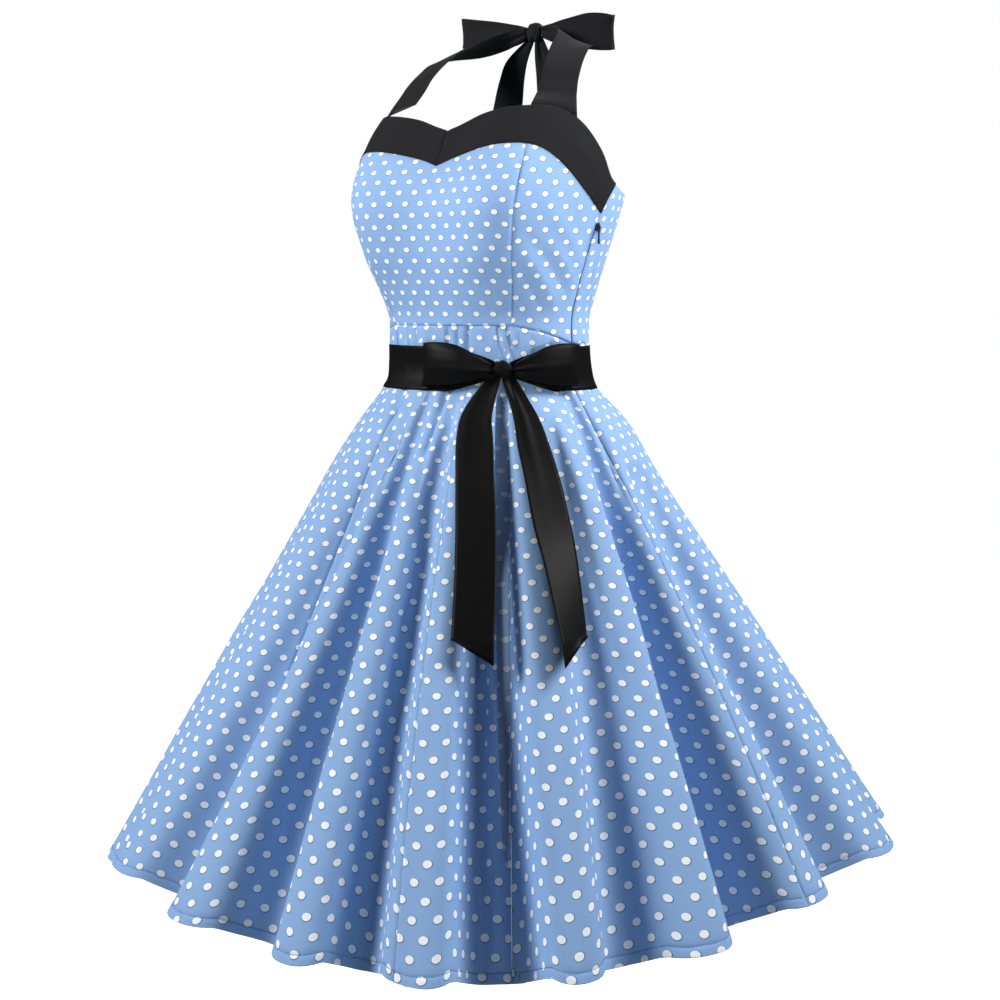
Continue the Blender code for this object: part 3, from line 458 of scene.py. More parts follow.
def blackSatin():
    # Polyester satin ribbon: long floats along it give soft streaks of light across its folds.
    made, tree, shader = newMaterial("satinRibbon", "#0B0B0C", 0.50, Specular_IOR_Level=0.08, Anisotropic=0.3)
    uv = addNode(tree, "ShaderNodeUVMap", uv_map="cloth").outputs[0]
    drawn = addNode(
        tree, "ShaderNodeVectorMath", {0: uv}, operation="MULTIPLY",
        inputs={1: satinFloats},
    )
    threads = addNode(
        tree, "ShaderNodeTexNoise", {"Vector": drawn.outputs[0]}, inputs={"Scale": 1.0, "Detail": 2.0}
    )
    bump = addNode(
        tree, "ShaderNodeBump", {"Height": threads.outputs[0]}, inputs={"Strength": 0.12, "Distance": 0.00004}
    )
    tree.links.new(bump.outputs[0], shader.inputs["Normal"])
    # Painted light and shade: the raised floats are drawn a little lighter and the low ones darker.
    floatShading = addNode(
        tree, "ShaderNodeMix", {"Factor": threads.outputs[0]}, data_type="RGBA",
        inputs={6: linear("#090909"), 7: linear("#100F0F")},
    )
    tree.links.new(floatShading.outputs[2], shader.inputs["Base Color"])
    tangent = addNode(tree, "ShaderNodeTangent", direction_type="UV_MAP", uv_map="cloth")
    tree.links.new(tangent.outputs[0], shader.inputs["Tangent"])
    return made


def zipTapeWoven():
    # Woven polyester zip tape: a close rib across it, matte navy.
    made, tree, shader = newMaterial("zipTapeWoven", "#17233D", 0.88)
    uv = addNode(tree, "ShaderNodeUVMap", uv_map="cloth").outputs[0]
    height = weaveBump(tree, shader, uv, *weaves["tape"])
    # Painted shade: the rib's low places are drawn darker and its raised threads lighter.
    shade = addNode(tree, "ShaderNodeMapRange", {"Value": height}, inputs={"From Min": -1.0})
    mixed = addNode(
        tree, "ShaderNodeMix", {"Factor": shade.outputs["Result"]}, data_type="RGBA",
        inputs={6: linear("#121C33"), 7: linear("#1D2B49")},
    )
    tree.links.new(mixed.outputs[2], shader.inputs["Base Color"])
    return made


def enamelledZinc():
    # Die-cast zinc, stove enamelled navy: a smooth hard coat with a slight orange peel, so its
    # highlights are soft and a little uneven.
    made, tree, shader = newMaterial("enamelledZinc", "#10203C", 0.34, Metallic=0.0, IOR=1.5)
    place = addNode(tree, "ShaderNodeTexCoord").outputs["Object"]
    peel = addNode(
        tree, "ShaderNodeTexNoise", {"Vector": place}, inputs={"Scale": 900.0, "Detail": 2.0}
    )
    uneven = addNode(
        tree, "ShaderNodeMapRange", {"Value": peel.outputs[0]}, inputs={"To Min": 0.27, "To Max": 0.44}
    )
    tree.links.new(uneven.outputs["Result"], shader.inputs["Roughness"])
    # Painted light and shade: the peel's raised places are drawn lighter and its hollows darker.
    peelShading = addNode(
        tree, "ShaderNodeMix", {"Factor": peel.outputs[0]}, data_type="RGBA",
        inputs={6: linear("#0C1A33"), 7: linear("#182A4B")},
    )
    tree.links.new(peelShading.outputs[2], shader.inputs["Base Color"])
    bump = addNode(
        tree, "ShaderNodeBump", {"Height": peel.outputs[0]}, inputs={"Strength": 0.2, "Distance": 0.00002}
    )
    tree.links.new(bump.outputs[0], shader.inputs["Normal"])
    return made


def sewingThread():
    # Spun polyester thread, two plies twisted together, a shade darker than the cloth.
    made, tree, shader = newMaterial("sewingThread", "#5F83BC", 0.7)
    place = addNode(tree, "ShaderNodeTexCoord").outputs["Object"]
    # Painted light and shade: the twist's diagonal bands are drawn lighter and darker, as light falls across
    # the plies.
    plies = addNode(
        tree, "ShaderNodeTexWave", {"Vector": place}, bands_direction="DIAGONAL", inputs={"Scale": 700.0}
    )
    shade = addNode(
        tree, "ShaderNodeMix", {"Factor": plies.outputs[1]}, data_type="RGBA",
        inputs={6: linear("#50739F"), 7: linear("#6F95CE")},
    )
    tree.links.new(shade.outputs[2], shader.inputs["Base Color"])
    return made


spotFace = spotPrint("spotPoplin", False)
spotBack = spotPrint("spotPoplinReverse", True)
sateen = blackCloth()
satin = blackSatin()
tapeFinish = zipTapeWoven()
enamel = enamelledZinc()
thread = sewingThread()
print("materials made")


# Making cloth
def placed(name, mesh, finishes):
    mesh.shade_smooth()
    for finish in finishes:
        mesh.materials.append(finish)
    made = bpy.data.objects.new(name, mesh)
    scene.collection.objects.link(made)
    return made


def fromBmesh(name, bm, finish):
    bmesh.ops.recalc_face_normals(bm, faces=bm.faces)
    mesh = bpy.data.meshes.new(name)
    bm.to_mesh(mesh)
    bm.free()
    return placed(name, mesh, (finish,))


def clothGrid(name, points, uv, finishes, thick):
    # A grid laid on rows of points, the top row first and each row towards the wearer's left,
    # so that its faces point outwards. Solidify gives it its thickness.
    rows, columns = points.shape[:2]
    bm = bmesh.new()
    bmesh.ops.create_grid(bm, x_segments=columns - 1, y_segments=rows - 1, size=1.0)
    mesh = bpy.data.meshes.new(name)
    bm.to_mesh(mesh)
    bm.free()
    flat = np.empty(len(mesh.vertices) * 3)
    mesh.vertices.foreach_get("co", flat)
    flat = flat.reshape(-1, 3)
    column = np.rint((flat[:, 0] + 1) / 2 * (columns - 1)).astype(int)
    row = np.rint((1 - flat[:, 1]) / 2 * (rows - 1)).astype(int)
    mesh.vertices.foreach_set("co", points[row, column].astype(np.float32).ravel())
    corners = np.empty(len(mesh.loops), np.int32)
    mesh.loops.foreach_get("vertex_index", corners)
    layer = mesh.uv_layers.new(name="cloth")
    layer.data.foreach_set("uv", uv[row, column][corners].astype(np.float32).ravel())
    mesh.update()
    made = placed(name, mesh, finishes)
    solid = made.modifiers.new("thickness", "SOLIDIFY")
    solid.thickness = thick
    solid.offset = -1
    solid.material_offset = len(finishes) - 1
    return made


def dress(made, slot, *nodes):
    # Puts a piece on the dress, in place of the nodes it stands for.
    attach(made, "dress")
    if nodes:
        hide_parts(*nodes)


def spaced(count, start=None, end=None):
    # Lines of points across a piece, at a + b * width, close together beside both edges.
    # under is how far a turned edge lies inside; start and end are the widths turned under.
    near = cloth["near"]
    inner = np.linspace(0, 1, count + 1)
    a = list(near[:-1]) + list(near[-1] * (1 - 2 * inner)) + [-d for d in near[-2::-1]]
    b = [0.0] * (len(near) - 1) + list(inner) + [1.0] * (len(near) - 1)
    under = [0.0] * len(a)
    deep = cloth["turnedDeep"]
    if start:
        a, b, under = [start, cloth["foldIn"]] + a, [0.0, 0.0] + b, [deep, deep * 0.85] + under
    if end:
        a, b, under = a + [-cloth["foldIn"], -end], b + [1.0, 1.0], under + [deep * 0.85, deep]
    return np.array(a), np.array(b), np.array(under)


def arcAlong(points, axis):
    # Distance along the rows or columns of a grid of points.
    step = np.linalg.norm(np.diff(points, axis=axis), axis=-1)
    pad = [(int(k == axis), 0) for k in range(step.ndim)]
    return np.pad(np.cumsum(step, axis=axis), pad)


def runOf(line):
    # Distance along a line of points.
    return arcAlong(line, 0)


def readLine(at, run, line):
    # A line's values at the given distances along it.
    return np.stack([np.interp(at, run, line[:, k]) for k in range(3)], -1)


def creaseRelief(x, y, creases):
    # Soft troughs and ridges: from, to, depth (out is positive) and half width.
    total = np.zeros(np.broadcast(x, y).shape)
    for x0, y0, x1, y1, depth, wide in creases:
        length = np.hypot(x1 - x0, y1 - y0)
        along = ((x - x0) * (x1 - x0) + (y - y0) * (y1 - y0)) / length**2
        aside = ((x - x0) * (y1 - y0) - (y - y0) * (x1 - x0)) / length
        taper = np.sin(np.pi * np.clip(along, 0, 1)) ** 0.8
        total += depth * taper * fading(aside, wide)
    return total


# Skirt creases: turn and share at both ends, depth and half width in metres.
skirtCreases = (
    (5.0, 0.00, 6.0, 0.07, -0.0030, 0.0022),
    (11.0, 0.00, 10.5, 0.08, -0.0026, 0.0024),
    (17.0, 0.00, 16.0, 0.07, -0.0022, 0.0022),
    (26.0, 0.00, 28.0, 0.12, 0.0014, 0.0040),
    (33.0, 0.00, 39.0, 0.10, -0.0052, 0.0024),
    (38.8, 0.00, 42.5, 0.10, -0.0046, 0.0021),
    (-23.0, 0.00, -24.0, 0.07, -0.0028, 0.0022),
    (44.0, 0.00, 42.0, 0.12, -0.0020, 0.0030),
    (52.0, 0.01, 53.5, 0.13, -0.0014, 0.0035),
    (64.0, 0.01, 62.0, 0.12, -0.0015, 0.0035),
    (-6.0, 0.01, -5.0, 0.16, -0.0018, 0.0035),
    (-20.0, 0.01, -19.0, 0.14, -0.0020, 0.0035),
    (-36.0, 0.01, -38.0, 0.13, -0.0020, 0.0035),
    (-55.0, 0.01, -54.0, 0.15, -0.0018, 0.0035),
    (-74.0, 0.01, -76.0, 0.14, -0.0020, 0.0040),
    (-96.0, 0.01, -98.0, 0.15, -0.0020, 0.0040),
    (-118.0, 0.01, -116.0, 0.14, -0.0018, 0.0040),
    (-142.0, 0.01, -144.0, 0.15, -0.0020, 0.0040),
    (-163.0, 0.01, -161.0, 0.13, -0.0018, 0.0040),
    (98.0, 0.01, 97.0, 0.13, -0.0020, 0.0040),
    (117.0, 0.01, 119.0, 0.15, -0.0018, 0.0040),
    (140.0, 0.01, 139.0, 0.13, -0.0020, 0.0040),
    (166.0, 0.01, 168.0, 0.14, -0.0018, 0.0040),
    (8.5, 0.09, 5.0, 0.26, -0.0065, 0.0045),
    (5.0, 0.15, 13.0, 0.42, -0.0045, 0.0070),
    (-25.0, 0.09, -8.0, 0.25, -0.0035, 0.0055),
    (-9.0, 0.14, -2.0, 0.45, -0.0045, 0.0080),
    (82.0, 0.10, 76.0, 0.38, -0.0060, 0.0070),
    (60.0, 0.14, 62.0, 0.36, 0.0024, 0.0080),
    (52.0, 0.20, 54.0, 0.62, -0.0022, 0.0120),
    (-30.0, 0.18, -28.0, 0.55, 0.0022, 0.0130),
    (-14.0, 0.24, -15.0, 0.60, -0.0020, 0.0120),
    (33.0, 0.30, 33.0, 0.80, -0.0030, 0.0100),
    (-45.0, 0.42, -43.0, 1.00, 0.0030, 0.0140),
    (-3.0, 0.50, -2.0, 1.00, -0.0030, 0.0130),
    (16.0, 0.55, 15.5, 1.00, 0.0028, 0.0130),
    (24.5, 0.60, 25.0, 1.00, -0.0022, 0.0110),
    (55.5, 0.55, 56.0, 1.00, 0.0032, 0.0120),
    (67.0, 0.50, 67.0, 1.00, -0.0024, 0.0110),
    (92.0, 0.45, 95.0, 1.00, 0.0030, 0.0140),
    (-68.0, 0.50, -70.0, 1.00, -0.0026, 0.0130),
    (-93.0, 0.48, -92.0, 1.00, 0.0028, 0.0140),
    (-103.0, 0.40, -104.0, 1.00, -0.0022, 0.0120),
    (-123.0, 0.52, -123.0, 1.00, -0.0026, 0.0130),
    (-142.0, 0.46, -142.5, 1.00, 0.0026, 0.0130),
    (-161.0, 0.50, -161.0, 1.00, -0.0024, 0.0130),
    (-173.0, 0.44, -174.0, 1.00, 0.0024, 0.0130),
    (110.0, 0.50, 110.0, 1.00, -0.0026, 0.0130),
    (129.0, 0.44, 129.0, 1.00, 0.0024, 0.0120),
    (146.0, 0.52, 146.0, 1.00, -0.0024, 0.0120),
    (162.0, 0.46, 161.5, 1.00, 0.0026, 0.0130),
    (177.0, 0.50, 177.0, 1.00, -0.0022, 0.0120),
)


def skirtRelief(turn, share, radius):
    # Gathers under the waist seam and long soft creases down the folds.
    total = np.zeros(turn.shape)
    for turn0, share0, turn1, share1, depth, wide in skirtCreases:
        along = np.clip((share - share0) / (share1 - share0), 0, 1)
        centre = turn0 + (turn1 - turn0) * along
        aside = np.radians(wrapTurn(turn - centre)) * radius
        fade = smooth(along / 0.3) if share0 > 0.011 else 0.55 + 0.45 * smooth(along / 0.3)
        if share1 < 1:
            fade = fade * smooth((1 - along) / 0.45)
        total += depth * fade * (share >= share0) * fading(aside, wide)
    return total


# Each gore's node, its cut as (width at the hem, length), and the cut's area.
goreNames = {
    "skirtSideBackRight": ("skirt_side_back_right", (0.503, 0.620), 0.1817),
    "skirtSideFrontRight": ("skirt_side_front_right", (0.371, 0.620), 0.1343),
    "skirtInsetRight": ("skirt_inset_right", (0.201, 0.620), 0.0726),
    "skirtFront": ("skirt_front", (0.553, 0.620), 0.1998),
    "skirtInsetLeft": ("skirt_inset_left", (0.258, 0.620), 0.0931),
    "skirtSideFrontLeft": ("skirt_side_front_left", (0.542, 0.620), 0.1960),
    "skirtSideBackLeft": ("skirt_side_back_left", (0.491, 0.620), 0.1776),
    "skirtBack": ("skirt_back", (1.055, 0.620), 0.3813),
}
printGrowth = 0.38  # how much larger the print is drawn at the hem than at the waist
hemFinish = {
    "rows": (-0.0016, -0.0007, 0.0, 0.0007, 0.0016),  # lines of points beside the stitching
    "rise": 0.0012,  # over which the doubled edge rises
    "raised": 0.0004,
    "uneven": 0.00035,
    "short": 0.0031,  # lengths of its two waves, for a radian
    "long": 0.0074,
    "groove": 0.0006,
    "grooveWide": 0.0008,
}
# The sash presses the gathers' ridges flat: where it lies on the skirt, and how much.
underSash = {"share": 0.075, "spread": 0.05, "pressed": 0.8}


def gore(name, waistTurns, hemTurns):
    node, flat, area = goreNames[name]
    length = skirtForm["length"]
    a, b, under = spaced(int(length / skirtForm["rowStep"]), cloth["allowance"], skirtForm["hemUp"])
    level = a / length + b
    # More rows pass over the hem's stitching.
    stitched = 1 - (skirtForm["hemUp"] + np.array(hemFinish["rows"])) / length
    level = np.concatenate([level[:2], np.sort(np.append(level[2:-2], stitched)), level[-2:]])
    under = np.concatenate([under[:2], np.zeros(len(level) - 4), under[-2:]])
    count = int(np.ceil((hemTurns[1] - hemTurns[0]) / skirtForm["turnStep"]))
    ca, cb, sideUnder = spaced(count, cloth["allowance"], cloth["allowance"])
    first = waistTurns[0] + (hemTurns[0] - waistTurns[0]) * level
    second = waistTurns[1] + (hemTurns[1] - waistTurns[1]) * level
    middle = skirtPoint((first + second) / 2, level)
    radius = np.hypot(middle[:, 0], middle[:, 1])
    gap = np.degrees(cloth["hairline"] / radius)
    first, second = first + gap, second - gap
    width = np.radians(second - first) * radius
    inset = np.minimum(np.abs(ca), 0.4 * width[:, None] * (np.abs(ca) > 0)) * np.sign(ca)
    across = np.clip((inset + cb * width[:, None]) / width[:, None], 0, 1)
    turns = first[:, None] + (second - first)[:, None] * across
    levels = np.repeat(level[:, None], turns.shape[1], axis=1)
    base = skirtPoint(turns, levels)
    facing = outwards(skirtPoint, turns, levels)
    sideAway = np.minimum(across, 1 - across) * width[:, None]
    topAway = (level * length)[:, None]
    hemAway = ((1 - level) * length)[:, None]
    relief = skirtRelief(turns, levels, radius[:, None])
    pressed = underSash["pressed"] * fading(levels - underSash["share"], underSash["spread"])
    relief = np.where(relief > 0, relief * (1 - pressed), relief)
    for away in (sideAway, topAway):
        relief = relief - cloth["seamDip"] * fading(away, cloth["dipWide"])
    arc = arcAlong(base, 1)
    # The hem: a stitched groove, and below it a doubled edge that is drawn in a little unevenly.
    hemSide = smooth((skirtForm["hemUp"] - hemAway) / hemFinish["rise"] + 0.5)
    uneven = 0.5 * np.sin(arc / hemFinish["short"]) + 0.5 * np.sin(arc / hemFinish["long"] + 1.3)
    relief = relief + hemSide * (hemFinish["raised"] + hemFinish["uneven"] * uneven)
    groove = fading(hemAway - skirtForm["hemUp"], hemFinish["grooveWide"])
    relief = relief - hemFinish["groove"] * groove
    arc = arcAlong(base + facing * relief[..., None], 1)
    relief = relief - under[:, None] - sideUnder[None]
    points = base + facing * relief[..., None]
    # The print follows the cloth as it was cut: a gore is a slice of a ring.
    down = runOf(skirtPoint((first + second) / 2, level, False))
    whole = arc[:, -1]
    upper, lower = len(level) // 6, -8
    taper = max((whole[lower] - whole[upper]) / (down[lower] - down[upper]), 0.02)
    ring = whole[upper] / taper + down - down[upper]
    apex = ring[2]
    angle = (arc - whole[:, None] / 2) / ring[:, None]
    flatAcross = ring[:, None] * np.sin(angle)
    flatDown = ring[:, None] * np.cos(angle) - apex
    share = np.clip(flatDown / length, -0.1, 1.4)
    printDown = -np.log1p(printGrowth * share) / printGrowth * length
    uv = np.stack([flatAcross / (1 + printGrowth * share), printDown], -1)
    made = clothGrid(name, points, uv, (spotFace, spotBack), cloth["cottonThick"])
    dress(made, "dotted_cotton", node)


hemLine = [-t for t in reversed(skirtForm["seamTurns"])] + list(skirtForm["seamTurns"])
waistLine = [-t for t in reversed(skirtForm["seamTurnsWaist"])] + list(skirtForm["seamTurnsWaist"])
hemLine.append(hemLine[0] + 360)
waistLine.append(waistLine[0] + 360)
for k, name in enumerate(goreNames):
    gore(name, waistLine[k : k + 2], hemLine[k : k + 2])
print("skirt made")

# Bodice creases: turn and height at both ends, depth and half width in metres.
bodiceCreases = (
    (46.0, 0.142, 78.0, 0.060, -0.0013, 0.0060),
    (46.0, 0.124, 70.0, 0.052, 0.0011, 0.0055),
    (45.0, 0.104, 60.0, 0.050, -0.0009, 0.0045),
    (52.0, 0.172, 82.0, 0.098, 0.0010, 0.0070),
    (60.0, 0.128, 82.0, 0.074, 0.0009, 0.0050),
    (24.0, 0.070, 22.0, 0.040, -0.0008, 0.0040),
    (10.0, 0.074, 12.0, 0.040, 0.0007, 0.0040),
    (36.0, 0.120, 30.0, 0.070, -0.0007, 0.0060),
    (-46.0, 0.140, -77.0, 0.062, -0.0013, 0.0060),
    (-47.0, 0.120, -70.0, 0.052, 0.0010, 0.0050),
    (-54.0, 0.168, -82.0, 0.100, 0.0010, 0.0070),
    (-20.0, 0.072, -22.0, 0.040, -0.0008, 0.0040),
    (-34.0, 0.118, -30.0, 0.072, -0.0007, 0.0060),
    (89.0, 0.158, 90.0, 0.050, -0.0008, 0.0032),
    (95.0, 0.170, 94.0, 0.070, 0.0009, 0.0036),
    (101.0, 0.150, 99.0, 0.045, -0.0010, 0.0034),
    (108.0, 0.168, 105.0, 0.080, 0.0009, 0.0040),
    (116.0, 0.140, 112.0, 0.040, -0.0009, 0.0040),
    (128.0, 0.150, 124.0, 0.060, 0.0010, 0.0050),
    (143.0, 0.120, 139.0, 0.040, -0.0010, 0.0050),
    (160.0, 0.130, 158.0, 0.050, 0.0008, 0.0055),
    (178.0, 0.110, 181.0, 0.040, -0.0009, 0.0050),
    (198.0, 0.130, 200.0, 0.050, 0.0008, 0.0055),
    (216.0, 0.122, 220.0, 0.042, -0.0010, 0.0050),
    (233.0, 0.150, 236.0, 0.060, 0.0010, 0.0050),
    (246.0, 0.140, 248.0, 0.042, -0.0009, 0.0040),
    (254.0, 0.166, 256.0, 0.080, 0.0009, 0.0040),
    (262.0, 0.150, 261.0, 0.046, -0.0010, 0.0034),
    (268.0, 0.160, 267.0, 0.060, 0.0008, 0.0034),
)
bodiceRound = 0.125  # metres round the bodice for each radian, for placing creases
panelReach = 0.19  # metres from the waist to the band, for placing rows
seamFinish = {
    "pucker": 0.00022,  # how far the cloth puckers beside a seam
    "puckerEvery": 0.0085,
    "puckerWide": 0.0045,
    "slider": 0.1430,  # height of the zip's slider
    "zipOpening": 0.00055,  # half the slit that shows the zip below it
}


def seamTurn(column, share, side):
    return side * readTable(bodiceSeams, "share", column, share)


def seamLine(column, side, lap=0):
    return lambda share: lap + seamTurn(column, share, side)


def creasesRound(turn, height, creases, reach, side=1):
    # Creases whose ends are given by turn and height; reach is the form's radius.
    lines = [
        (radians(side * t0) * reach, h0, radians(side * t1) * reach, h1, depth, wide)
        for t0, h0, t1, h1, depth, wide in creases
    ]
    return creaseRelief(np.radians(turn) * reach, height, lines)


def bodiceRelief(turn, height):
    return creasesRound(turn, height, bodiceCreases, bodiceRound)


def sampled(table, rows, columns, row, column):
    # A table over evenly spaced rows and columns, read between its entries.
    i = np.clip((row - rows[0]) / (rows[1] - rows[0]), 0, len(rows) - 1.001)
    j = np.clip((column - columns[0]) / (columns[1] - columns[0]), 0, len(columns) - 1.001)
    down, right = i.astype(int), j.astype(int)
    u, v = i - down, j - right
    near = table[down, right] * (1 - v) + table[down, right + 1] * v
    far = table[down + 1, right] * (1 - v) + table[down + 1, right + 1] * v
    return near * (1 - u) + far * u


def panelPrint(turns, heights, firstSeam, secondSeam):
    # The print's rows are level: across is measured along them from the panel's middle, and up
    # along the panel's own profile.
    rows = np.linspace(heights.min(), heights.max(), 90)
    columns = np.linspace(turns.min(), turns.max(), 150)
    face = bodicePoint(columns[None], rows[:, None])
    around = arcAlong(face, 1)
    upwards = np.interp(heights, rows, arcAlong(face, 0).mean(axis=1))
    middle = (columns[0] + columns[-1]) / 2
    waist, band = edgeHeight("waist", middle), edgeHeight("band", middle)
    share = np.clip((heights - waist) / (band - waist), 0, 2)
    middle = (firstSeam(share) + secondSeam(share)) / 2
    across = sampled(around, rows, columns, heights, turns) - sampled(around, rows, columns, heights, middle)
    return np.stack([across, upwards], -1)


def bodicePanel(name, node, firstSeam, secondSeam, zipSide=0, turnedTop=False):
    # Rows run from the top edge, under the band, down to the waist.
    reach = panelReach
    near = np.array(cloth["near"][::-1]) / reach
    shares = np.concatenate([np.linspace(2, 1, 13), np.linspace(1, near[0], 60)[1:], near[1:]])
    under = np.zeros(len(shares))
    deep, allowance = cloth["turnedDeep"], cloth["allowance"]
    shares = np.concatenate([shares, [cloth["foldIn"] / reach, allowance / reach]])
    under = np.concatenate([under, [deep * 0.85, deep]])
    if turnedTop:
        shares = np.concatenate([[1.60, 1.99, 2.0, 1.985], shares[1:]])
        under = np.concatenate([[deep, deep * 0.85, 0.0006, 0.0], under[1:]])
    first, second = firstSeam(shares), secondSeam(shares)
    middle = bodicePoint((first + second) / 2, bodiceHeight((first + second) / 2, shares))
    radius = np.hypot(middle[:, 0], middle[:, 1])
    zipped = np.where(bodiceHeight(first, shares) < seamFinish["slider"], seamFinish["zipOpening"], 0)
    first = first + np.degrees((cloth["hairline"] + (zipSide < 0) * zipped) / radius)
    second = second - np.degrees((cloth["hairline"] + (zipSide > 0) * zipped) / radius)
    width = np.radians(second - first) * radius
    a, b, sideUnder = spaced(int(width.mean() / 0.0032), allowance, allowance)
    across = np.clip((a + b * width[:, None]) / width[:, None], 0, 1)
    turns = first[:, None] + (second - first)[:, None] * across
    heights = bodiceHeight(turns, shares[:, None])
    base = bodicePoint(turns, heights)
    facing = outwards(bodicePoint, turns, heights)
    sideAway = np.minimum(across, 1 - across) * width[:, None]
    waistAway = (shares * reach)[:, None]
    relief = bodiceRelief(turns, heights)
    for away in (sideAway, waistAway):
        relief = relief - cloth["seamDip"] * fading(away, cloth["dipWide"])
    pucker = np.sin(2 * np.pi * heights / seamFinish["puckerEvery"]) * seamFinish["pucker"]
    relief = relief + pucker * fading(sideAway, seamFinish["puckerWide"])
    relief = relief - under[:, None] - sideUnder[None]
    points = base + facing * relief[..., None]
    uv = panelPrint(turns, heights, firstSeam, secondSeam)
    made = clothGrid(name, points, uv, (spotFace, spotBack), cloth["cottonThick"])
    dress(made, "dotted_cotton", node)


bodicePanel(
    "bodiceFrontCenter", "bodice_front_center",
    seamLine("princess", -1), seamLine("princess", 1),
)
bodicePanel(
    "bodiceSideFrontLeft", "bodice_side_front_left",
    seamLine("princess", 1), seamLine("side", 1),
    zipSide=1,
)
bodicePanel(
    "bodiceSideFrontRight", "bodice_side_front_right",
    seamLine("side", -1), seamLine("princess", -1),
)
bodicePanel(
    "bodiceBack", "bodice_back",
    seamLine("side", 1), seamLine("side", -1, 360),
    zipSide=-1, turnedTop=True,
)

bustBand = {
    "lift": 0.0012,  # how far its face stands off the panels
    "thick": 0.0008,
    "facing": 0.022,  # turned over the top edge and down inside
    "roll": 0.0009,
    "reach": 0.042,  # metres for each share of its height
    "vGap": 0.0005,  # radians left beside the V, where its halves meet
    "vRadius": 0.09,
    "vDip": 0.0008,
    "vDipWide": 0.0012,
    "flat": (0.226, 0.088),
    "area": 0.0160,
    "creases": (
        (30, 0.255, 66, 0.205, -0.0006, 0.008),
        (12, 0.232, 30, 0.236, 0.0005, 0.007),
        (60, 0.232, 82, 0.186, 0.0006, 0.007),
    ),
}


def bandHalf(name, node, side):
    # The band lies on the panels, and is turned over the neckline to face it inside.
    lift, roll = bustBand["lift"], bustBand["roll"]
    inside = lift + 2 * bustBand["thick"] + cloth["cottonThick"] + 0.0003
    reach = bustBand["reach"]
    rows = [(2 - bustBand["facing"] / reach, lift - inside, 0.0), (1.95, lift - inside, 0.0)]
    rows += [(2.0, lift - inside, roll * 0.3), (2.0, lift * 0.1, roll), (2.0, lift * 0.9, roll * 0.4)]
    rows += [(share, lift, 0.0) for share in np.linspace(1.985, 1.04, 18)]
    rows += [(1.02, lift * 0.94, 0.0), (1.005, lift * 0.75, 0.0), (1.0, lift * 0.35, 0.0)]
    share, out, up = (np.array(column) for column in zip(*rows))
    limit = seamTurn("side", share, 1)
    gap = np.degrees(bustBand["vGap"])
    first = np.full(share.shape, gap) if side > 0 else -limit + gap
    second = limit - gap if side > 0 else np.full(share.shape, -gap)
    width = np.radians(second - first) * bodiceRound
    a, b, _ = spaced(62)
    across = np.clip((a + b * width[:, None]) / width[:, None], 0, 1)
    turns = first[:, None] + (second - first)[:, None] * across
    heights = bodiceHeight(turns, share[:, None]) + up[:, None]
    base = bodicePoint(turns, heights)
    facing = outwards(bodicePoint, turns, heights)
    middleAway = np.abs(np.radians(turns)) * bustBand["vRadius"]
    relief = np.repeat(out[:, None], turns.shape[1], axis=1)
    relief = relief - bustBand["vDip"] * fading(middleAway, bustBand["vDipWide"]) * (relief > 0)
    soft = creasesRound(turns, heights, bustBand["creases"], bodiceRound, side)
    relief = relief + soft * (out > lift * 0.9)[:, None]
    points = base + facing * relief[..., None]
    uv = np.stack([arcAlong(base, 1), -arcAlong(base, 0)], -1)
    made = clothGrid(name, points, uv, (sateen,), bustBand["thick"])
    dress(made, "black_cotton", node)


bandHalf("bustBandLeft", "bust_band_left", 1)
bandHalf("bustBandRight", "bust_band_right", -1)
print("bodice made")

# The sash and its bow, all one ribbon. Each loop is a table of its turn from the knot, distance
# out from the skirt, height and width; each tail one of its height, turn, width, out and twist.
sash = {
    "rows": (0.0225, -0.0225),  # heights of its two edges
    "pinch": 0.30,  # share of its width left where it enters the knot
    "ringFrom": 3.4,  # degrees from the knot's middle to where the ring begins
    "narrowTo": 4.0,  # degrees from the knot to where it starts to widen
    "widens": 24.0,  # degrees over which it does
    "ringRadius": 0.105,
    "thick": 0.0005,
    "lift": 0.0014,
    "knotTurn": 36.6,
    "knotHeight": 0.0005,
    "knotSize": (0.019, 0.0115, 0.0155),
    "knotLean": -32.0,  # degrees that the wrap slants
    "knotOut": 0.0037,
    "follows": 0.0076,  # nearer the skirt than this a loop follows it
    "stands": 0.0130,  # and further out than this it stands straight
    "slant": 0.012,  # half the slant of a tail's cut end
    "crown": 0.0065,  # how far a loop swells out along its middle
    "radius": 0.100,
    "creases": (
        (70, 0.006, 79, -0.010, 0.0005, 0.004),
        (100, 0.006, 109, -0.010, 0.0004, 0.004),
        (-30, 0.006, -21, -0.010, 0.0006, 0.004),
        (-62, 0.006, -53, -0.010, 0.0004, 0.004),
    ),
}
sashLoopRight = {
    "turn": (6.0, 13.0, 22.0, 33.0, 40.0, 42.5, 41.0, 33.0, 20.0, 11.0, 6.0),
    "out": (0.0110, 0.0165, 0.0205, 0.0195, 0.0155, 0.0100, 0.0058, 0.0045, 0.0062, 0.0076, 0.0080),
    "height": (0.000, 0.002, 0.0045, 0.005, 0.0045, 0.0035, 0.002, 0.001, 0.000, -0.001, -0.001),
    "width": (0.012, 0.026, 0.039, 0.044, 0.043, 0.042, 0.042, 0.041, 0.034, 0.022, 0.012),
}
sashLoopLeft = {
    "turn": (6.0, 13.0, 22.0, 32.0, 40.0, 44.5, 43.5, 33.0, 20.0, 11.0, 6.0),
    "out": (0.0110, 0.0170, 0.0215, 0.0215, 0.0175, 0.0110, 0.0058, 0.0045, 0.0062, 0.0076, 0.0080),
    "height": (0.000, 0.002, 0.004, 0.005, 0.004, 0.003, 0.002, 0.001, 0.000, -0.001, -0.001),
    "width": (0.012, 0.025, 0.038, 0.042, 0.042, 0.041, 0.040, 0.040, 0.034, 0.022, 0.012),
}
